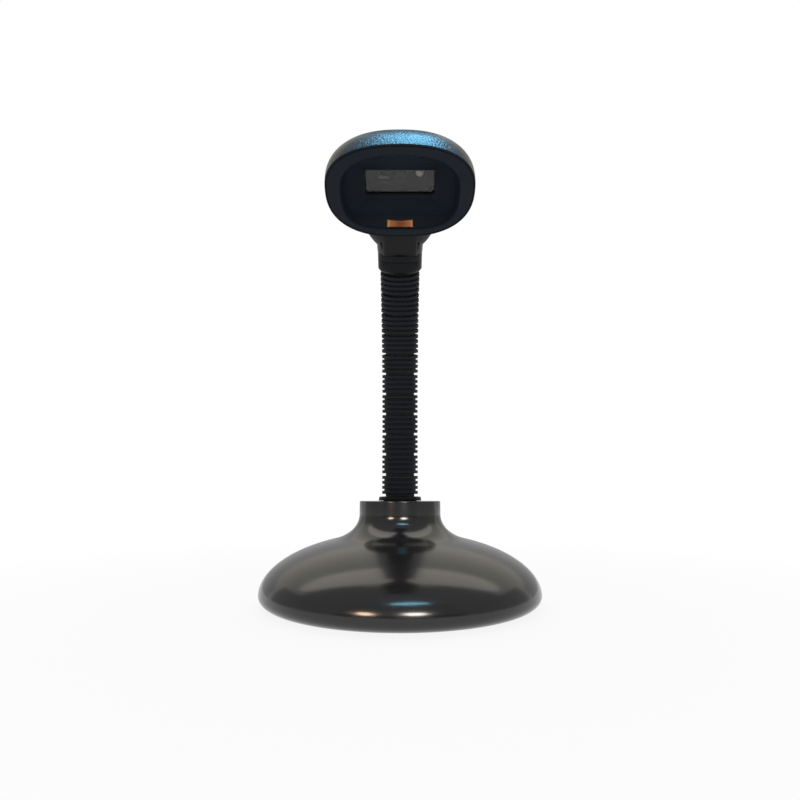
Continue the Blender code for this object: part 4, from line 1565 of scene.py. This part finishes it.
        # A ring close before the lip's crease and one close behind it keep it sharp
        before, behind = self.crease_shares
        work.ring(self.between(mouth, lip, before))
        work.ring(self.bowl(behind), bowl)
        for i in range(2, self.bowl_steps + 1):
            work.ring(self.bowl(i / self.bowl_steps), bowl)
        work.ring(self.window_frame(self.frame_land), bowl)
        for margin, depth in self.seat_rings:
            work.ring(self.window(margin * MM, depth * MM))
        work.ring(self.lip(*self.lip_wall))
        work.ring(self.outer(self.bezel_back, self.bezel_shelf))
        work.ring(self.outer(self.bezel_back, self.bezel_wall))
        work.join()
        work.move(self.place)
        work.piece("head_bezel", finishes, "head", "slate_plastic", ["front_bezel"])

    @staticmethod
    def rounding(radius: float, steps: int = 6) -> Outline:
        """Walks round a quarter of a circle, from one face of an edge to the other.

        Args:
            radius: The edge's radius.
            steps: How many chords.

        Returns:
            Distances from the second face and from the first.
        """
        turns = [math.pi / 2 * i / steps for i in range(steps + 1)]
        return [(radius * (1 - math.sin(a)), radius * (1 - math.cos(a))) for a in turns]

    @staticmethod
    def between(one: Placing, other: Placing, share: float) -> Placing:
        """A ring part of the way from one ring to another."""
        return lambda turn: one(turn).lerp(other(turn), share)

    def build_window(self) -> None:
        """The smoked pane in its seat."""
        work = Loft(self.sides)
        for margin, depth in self.pane_rings:
            work.ring(self.window(margin * MM, depth * MM))
        work.cap()
        work.move(self.place)
        work.piece("window_pane", [WINDOW_PMMA], "head", "smoked_glass", ["scan_window"])

    def lip_bar(self, margin: float, proud: float, back: float) -> Workpiece:
        """A bar standing in the lower lip, its face on the lip's slope.

        Args:
            margin: How much larger than the light pipe on each side.
            proud: How far its face stands out of the slope.
            back: Depth of its end.

        Returns:
            The bar in the head's frame, its upper edge hollowed.
        """
        slope = self.lip_depth / (self.mouth_heights[1] - self.lip_heights[1])
        half = Vector((self.pipe_width / 2 + margin, 0.0, self.pipe_height / 2 + margin))
        middle = Vector((0.0, 0.0, -self.pipe_drop))
        work = Workpiece()
        work.bar(middle - half, middle + half + Vector((0.0, back, 0.0)))
        along = [e for e in work.bm.edges if abs(e.verts[0].co.x - e.verts[1].co.x) > MM]
        bmesh.ops.subdivide_edges(work.bm, edges=along, cuts=self.pipe_cuts, use_grid_fill=True)
        for vert in work.bm.verts:
            if vert.co.z > middle.z:
                vert.co.z -= self.pipe_hollow * (1 - (vert.co.x / half.x) ** 2)
            if vert.co.y < back / 2:
                vert.co.y = slope * (self.mouth_heights[1] + vert.co.z) - proud
            vert.co.y -= self.reach
        work.soften(self.pipe_edge, 3)
        return work

    def build_pipe(self) -> None:
        """The amber light pipe, and a flange behind it painted nearly black: painted shade that
        draws the shadow line round the pipe.
        """
        pipe = self.lip_bar(0.0, self.pipe_proud, self.pipe_back)
        pipe.move(self.place)
        pipe.piece("pipe_bar", [AMBER_PMMA], "head", "amber_acrylic", ["light_pipe"])
        flange = self.lip_bar(self.flange_width, self.flange_proud, self.flange_back)
        flange.move(self.place)
        flange.piece("pipe_shade_flange", [PIPE_SHADE_LINE], "head", "amber_acrylic")

    def build_led(self) -> None:
        """The illumination LED's domed cap, cut flat on top."""
        work = Workpiece()
        radius, rise = self.led_radius, self.led_rise
        dome = arc((0.0, rise), (radius, rise), 90, 0, 8)
        work.spin([(0.0, -rise), *dome, (radius, -rise)], self.led_sides)
        across, depth, up = self.led_place
        turned = Matrix.Rotation(math.radians(90), 4, "X")
        work.move(Matrix.Translation((across, depth - self.reach, up)) @ turned)
        cut = bmesh.ops.bisect_plane(
            work.bm,
            geom=[*work.bm.verts, *work.bm.edges, *work.bm.faces],
            plane_co=(0.0, 0.0, self.led_top),
            plane_no=(0.0, 0.0, 1.0),
            clear_outer=True,
        )["geom_cut"]
        rim = [part for part in cut if isinstance(part, bmesh.types.BMEdge)]
        bmesh.ops.edgeloop_fill(work.bm, edges=rim)
        bmesh.ops.recalc_face_normals(work.bm, faces=work.bm.faces)
        work.move(self.place)
        work.piece("led_cap", [LED_EPOXY], "head", "cream_resin", ["illumination_led"])

    def build_slit(self) -> None:
        """The second, narrower aiming slit under the aimer window."""
        corners = (self.slit_low, self.slit_high)
        work = Workpiece()
        work.bar(*[Vector((across, depth - self.reach, up)) for across, depth, up in corners])
        work.soften(self.slit_edge)
        work.move(self.place)
        work.piece("aimer_slit", [SLIT_RESIN], "head", "cream_resin")

    def build(self, collar: Matrix) -> None:
        """Makes and dresses the head.

        Args:
            collar: The collar's frame.
        """
        tipped = Matrix.Rotation(math.radians(self.tip), 4, "X")
        self.place = collar @ Matrix.Translation((0, 0, self.axis_rise)) @ tipped
        self.build_shell()
        self.build_boss(collar)
        self.build_bezel()
        self.build_window()
        self.build_pipe()
        self.build_slit()
        self.build_led()
        dress(ENGINE_BLACK, "engine_chassis", "lens_barrel", "buzzer")
        dress(LENS_GLASS, "imaging_lens")
        dress(LED_EPOXY, "indicator_led")
        dress(AIMER_RESIN, "aimer_lens")
        dress(BOARD_FR4, "decoder_board")
        dress(ZINC, "engine_screw_left", "engine_screw_right", "data_port")


def sheet(
    name: str, material: bpy.types.Material, size: tuple[float, float], place: Matrix
) -> bpy.types.Object:
    """Puts a flat sheet into the studio.

    Args:
        name: Its name.
        material: Its material.
        size: Its width and length.
        place: The frame of its middle, with Z out of its face.

    Returns:
        The sheet.
    """
    bm = bmesh.new()
    bmesh.ops.create_grid(bm, x_segments=1, y_segments=1, size=0.5)
    bmesh.ops.scale(bm, vec=(*size, 1.0), verts=bm.verts)
    bmesh.ops.transform(bm, matrix=place, verts=bm.verts)
    mesh = bpy.data.meshes.new(name)
    bm.to_mesh(mesh)
    bm.free()
    mesh.materials.append(material)
    made = bpy.data.objects.new(name, mesh)
    bpy.context.scene.collection.objects.link(made)
    return made


@dataclass(frozen=True)
class Card:
    """A studio card that only reflections see: it darkens or tints what a gloss surface mirrors."""

    name: str
    centre: tuple[float, float, float]
    size: tuple[float, float]
    aim: tuple[float, float, float]
    colour: str
    strength: float

    def build(self) -> None:
        """Hangs the card."""
        made, tree, output = empty_material(self.name)
        glow = add_node(
            tree, "ShaderNodeEmission", {"Color": linear(self.colour), "Strength": self.strength}
        )
        tree.links.new(glow.outputs["Emission"], output.inputs["Surface"])
        ray = Vector(self.aim) - Vector(self.centre)
        turn = ray.to_track_quat("Z", "Y").to_matrix().to_4x4()
        card = sheet(self.name, made, self.size, Matrix.Translation(self.centre) @ turn)
        card.visible_camera = False
        card.visible_diffuse = False
        card.visible_transmission = False
        card.visible_shadow = False


@dataclass(frozen=True)
class Lamp:
    """An oval lamp, aimed at a point. It may light a few pieces alone, and show in their gloss."""

    name: str
    centre: tuple[float, float, float]
    aim: tuple[float, float, float]
    size: tuple[float, float]
    power: float
    colour: str = "#ffffff"
    pieces: tuple[str, ...] = ()
    mirrored: bool = False

    def build(self) -> None:
        """Hangs the lamp, out of the camera's sight."""
        light = bpy.data.lights.new(self.name, "AREA")
        light.shape = "ELLIPSE"
        light.size, light.size_y = self.size
        light.energy = self.power
        light.color = linear(self.colour)[:3]
        lamp = bpy.data.objects.new(self.name, light)
        lamp.location = self.centre
        ray = Vector(self.aim) - Vector(self.centre)
        lamp.rotation_euler = ray.to_track_quat("-Z", "Y").to_euler()
        lamp.visible_camera = False
        lamp.visible_glossy = self.mirrored
        bpy.context.scene.collection.objects.link(lamp)
        if self.pieces:
            lit = bpy.data.collections.new(self.name)
            for name in self.pieces:
                lit.objects.link(bpy.data.objects[name])
            lamp.light_linking.receiver_collection = lit


# Pieces that some lamps light alone, and the tint of the room's ceiling
HEAD_FRONT = ("head_bezel", "head_shell", "pipe_bar", "pipe_shade_flange")
HEAD_SKIN = ("head_shell", "head_bezel")
BASE_SKIN = ("base_bell",)
CEILING_TINT = "#fff9ec"


@dataclass
class Studio:
    """A pale floor, soft lamps, reflection cards and the camera at the photograph's place."""

    focal_px: float = 500.0
    picture_px: float = 800.0
    sensor_mm: float = 36.0
    distance: float = 283.9 * MM
    height: float = 55.3 * MM
    pitch: float = 10.88
    clip_start: float = 10.0 * MM
    sky_light: float = 0.45
    floor_colour: str = "#f4f4f2"
    floor_size: float = 12.0
    shadow_span: tuple[float, float] = (0.08, 0.4)
    shadow_fade: float = 0.88
    cards: tuple[Card, ...] = (
        Card("low_flag", (0.0, -1.4, -0.1), (6.0, 0.6), (0.0, 0.0, -0.1), "#404040", 1.0),
        Card("front_flag", (0.0, -1.4, 0.85), (6.0, 1.3), (0.0, 0.0, 0.85), "#a4a4a4", 1.0),
        Card("high_flag", (0.0, -1.4, 3.0), (2.8, 3.0), (0.0, 0.0, 3.0), "#b4b4b4", 1.0),
        Card("top_flag", (0.0, -0.85, 4.5), (2.8, 1.1), (0.0, -0.85, 0.0), "#b4b4b4", 1.0),
        Card("left_wall", (-1.4, -0.7, 2.5), (1.4, 4.0), (0.0, -0.7, 2.5), "#b4b4b4", 1.0),
        Card("right_wall", (1.4, -0.7, 2.5), (1.4, 4.0), (0.0, -0.7, 2.5), "#b4b4b4", 1.0),
        Card("left_flag", (-1.1, -0.25, 0.31), (1.5, 0.62), (0.0, -0.25, 0.31), "#b0b0b0", 1.0),
        Card("right_flag", (1.1, -0.25, 0.31), (1.5, 0.62), (0.0, -0.25, 0.31), "#b0b0b0", 1.0),
        Card("back_flag", (0.0, 1.5, 0.42), (5.0, 0.84), (0.0, 0.0, 0.42), "#c8c8c8", 1.0),
        Card("centre_flag", (0.0, 0.5, 0.85), (0.24, 0.9), (0.0, -0.05, 0.03), "#7f8588", 0.8),
        Card("crown_flag", (0.0, -0.24, 0.95), (0.26, 0.3), (0.0, -0.06, 0.02), "#505558", 0.8),
    )
    lamps: tuple[Lamp, ...] = (
        Lamp("overhead", (0.0, 0.1, 1.3), (0.0, 0.0, 0.1), (1.2, 1.2), 5.0),
        Lamp("front_fill", (0.0, -1.2, 0.3), (0.0, 0.0, 0.15), (0.9, 0.9), 6.5),
        Lamp(
            "bounce_left",
            (-0.12, -0.03, 0.02),
            (0.0, -0.08, 0.2),
            (0.12, 0.12),
            0.2,
            pieces=HEAD_FRONT,
        ),
        Lamp(
            "bounce_right",
            (0.12, -0.03, 0.02),
            (0.0, -0.08, 0.2),
            (0.12, 0.12),
            0.2,
            pieces=HEAD_FRONT,
        ),
        Lamp(
            "skylight",
            (0.04, -0.22, 0.6),
            (0.04, -0.22, 0.0),
            (0.22, 0.36),
            4.7,
            "#7cd0ff",
            HEAD_SKIN,
            True,
        ),
        Lamp(
            "ceiling",
            (0.0, 0.39, 1.6),
            (0.0, 0.39, 0.0),
            (4.4, 0.8),
            12.0,
            CEILING_TINT,
            BASE_SKIN,
            True,
        ),
        Lamp(
            "front_window",
            (0.16, -1.07, 1.08),
            (0.0, -0.07, 0.01),
            (0.68, 0.14),
            3.6,
            "#93e0fa",
            BASE_SKIN,
            True,
        ),
        Lamp(
            "warm_lamp",
            (-0.5, -1.07, 0.26),
            (0.0, -0.07, 0.01),
            (0.26, 0.17),
            3.6,
            "#ffdcb8",
            BASE_SKIN,
            True,
        ),
        Lamp(
            "white_lamp",
            (0.2, -1.07, 0.27),
            (0.0, -0.07, 0.01),
            (0.32, 0.16),
            4.6,
            "#fff6ea",
            BASE_SKIN,
            True,
        ),
    )

    def build_camera(self) -> None:
        """The camera, fitted to the photograph."""
        data = bpy.data.cameras.new("photo_view")
        data.sensor_width = self.sensor_mm
        data.lens = self.focal_px / self.picture_px * self.sensor_mm
        data.clip_start = self.clip_start
        camera = bpy.data.objects.new("photo_view", data)
        camera.location = (0.0, -self.distance, self.height)
        camera.rotation_euler = (math.radians(90 + self.pitch), 0.0, 0.0)
        bpy.context.scene.collection.objects.link(camera)
        bpy.context.scene.camera = camera

    def seen(self, tree: bpy.types.NodeTree) -> bpy.types.NodeSocket:
        """Tells the rays that look at a thing from those that gather its light.

        Args:
            tree: The node tree that asks.

        Returns:
            One for a ray from the camera, a reflection or glass, nought for any other.
        """
        path = add_node(tree, "ShaderNodeLightPath")
        either = add_node(
            tree,
            "ShaderNodeMath",
            {0: path.outputs["Is Camera Ray"], 1: path.outputs["Is Glossy Ray"]},
            operation="MAXIMUM",
        )
        any_of = add_node(
            tree,
            "ShaderNodeMath",
            {0: either.outputs["Value"], 1: path.outputs["Is Transmission Ray"]},
            operation="MAXIMUM",
        )
        return any_of.outputs["Value"]

    def build_world(self) -> None:
        """A world that is white to look at and softer as a light."""
        world = bpy.data.worlds.new("studio")
        bpy.context.scene.world = world
        world.use_nodes = True
        tree = world.node_tree
        tree.nodes.clear()
        level = add_node(
            tree,
            "ShaderNodeMapRange",
            {"Value": self.seen(tree), "To Min": self.sky_light, "To Max": 1.0},
        )
        mirrored = add_node(tree, "ShaderNodeLightPath").outputs["Is Glossy Ray"]
        tint = add_node(
            tree,
            "ShaderNodeMix",
            {0: mirrored, 6: linear("#ffffff"), 7: linear(CEILING_TINT)},
            data_type="RGBA",
        )
        sky = add_node(
            tree,
            "ShaderNodeBackground",
            {"Color": tint.outputs[2], "Strength": level.outputs["Result"]},
        )
        output = add_node(tree, "ShaderNodeOutputWorld")
        tree.links.new(sky.outputs["Background"], output.inputs["Surface"])

    def build_floor(self) -> None:
        """A pale floor that keeps a soft shadow."""
        made, tree, output = empty_material("pale studio floor")
        matt = add_node(tree, "ShaderNodeBsdfDiffuse", {"Color": linear(self.floor_colour)})
        glow = add_node(tree, "ShaderNodeEmission", {"Color": (1, 1, 1, 1), "Strength": 1.0})
        place = add_node(tree, "ShaderNodeTexCoord").outputs["Object"]
        away = add_node(tree, "ShaderNodeVectorMath", {0: place}, operation="LENGTH")
        near, far = self.shadow_span
        clean = add_node(
            tree,
            "ShaderNodeMapRange",
            {
                "Value": away.outputs["Value"],
                "From Min": near,
                "From Max": far,
                "To Min": self.shadow_fade,
            },
        )
        share = add_node(
            tree,
            "ShaderNodeMath",
            {0: clean.outputs["Result"], 1: self.seen(tree)},
            operation="MULTIPLY",
        )
        mix = add_node(
            tree,
            "ShaderNodeMixShader",
            {0: share.outputs["Value"], 1: matt.outputs["BSDF"], 2: glow.outputs["Emission"]},
        )
        tree.links.new(mix.outputs["Shader"], output.inputs["Surface"])
        floor = sheet("studio_floor", made, (self.floor_size,) * 2, Matrix())

    def build(self) -> None:
        """Sets up the whole studio."""
        bpy.context.scene.view_settings.view_transform = "Standard"
        self.build_camera()
        self.build_world()
        self.build_floor()
        for card in self.cards:
            card.build()
        for lamp in self.lamps:
            lamp.build()


def main() -> None:
    """Builds the studio and every piece."""
    logging.basicConfig(level=logging.INFO, format="%(message)s")
    points = bending_points()
    BellBase().build(points[0])
    Gooseneck().build(points)
    Collar().build(points[-1])
    ScanHead().build(points[-1])
    Studio().build()


if __name__ == "__main__":
    main()
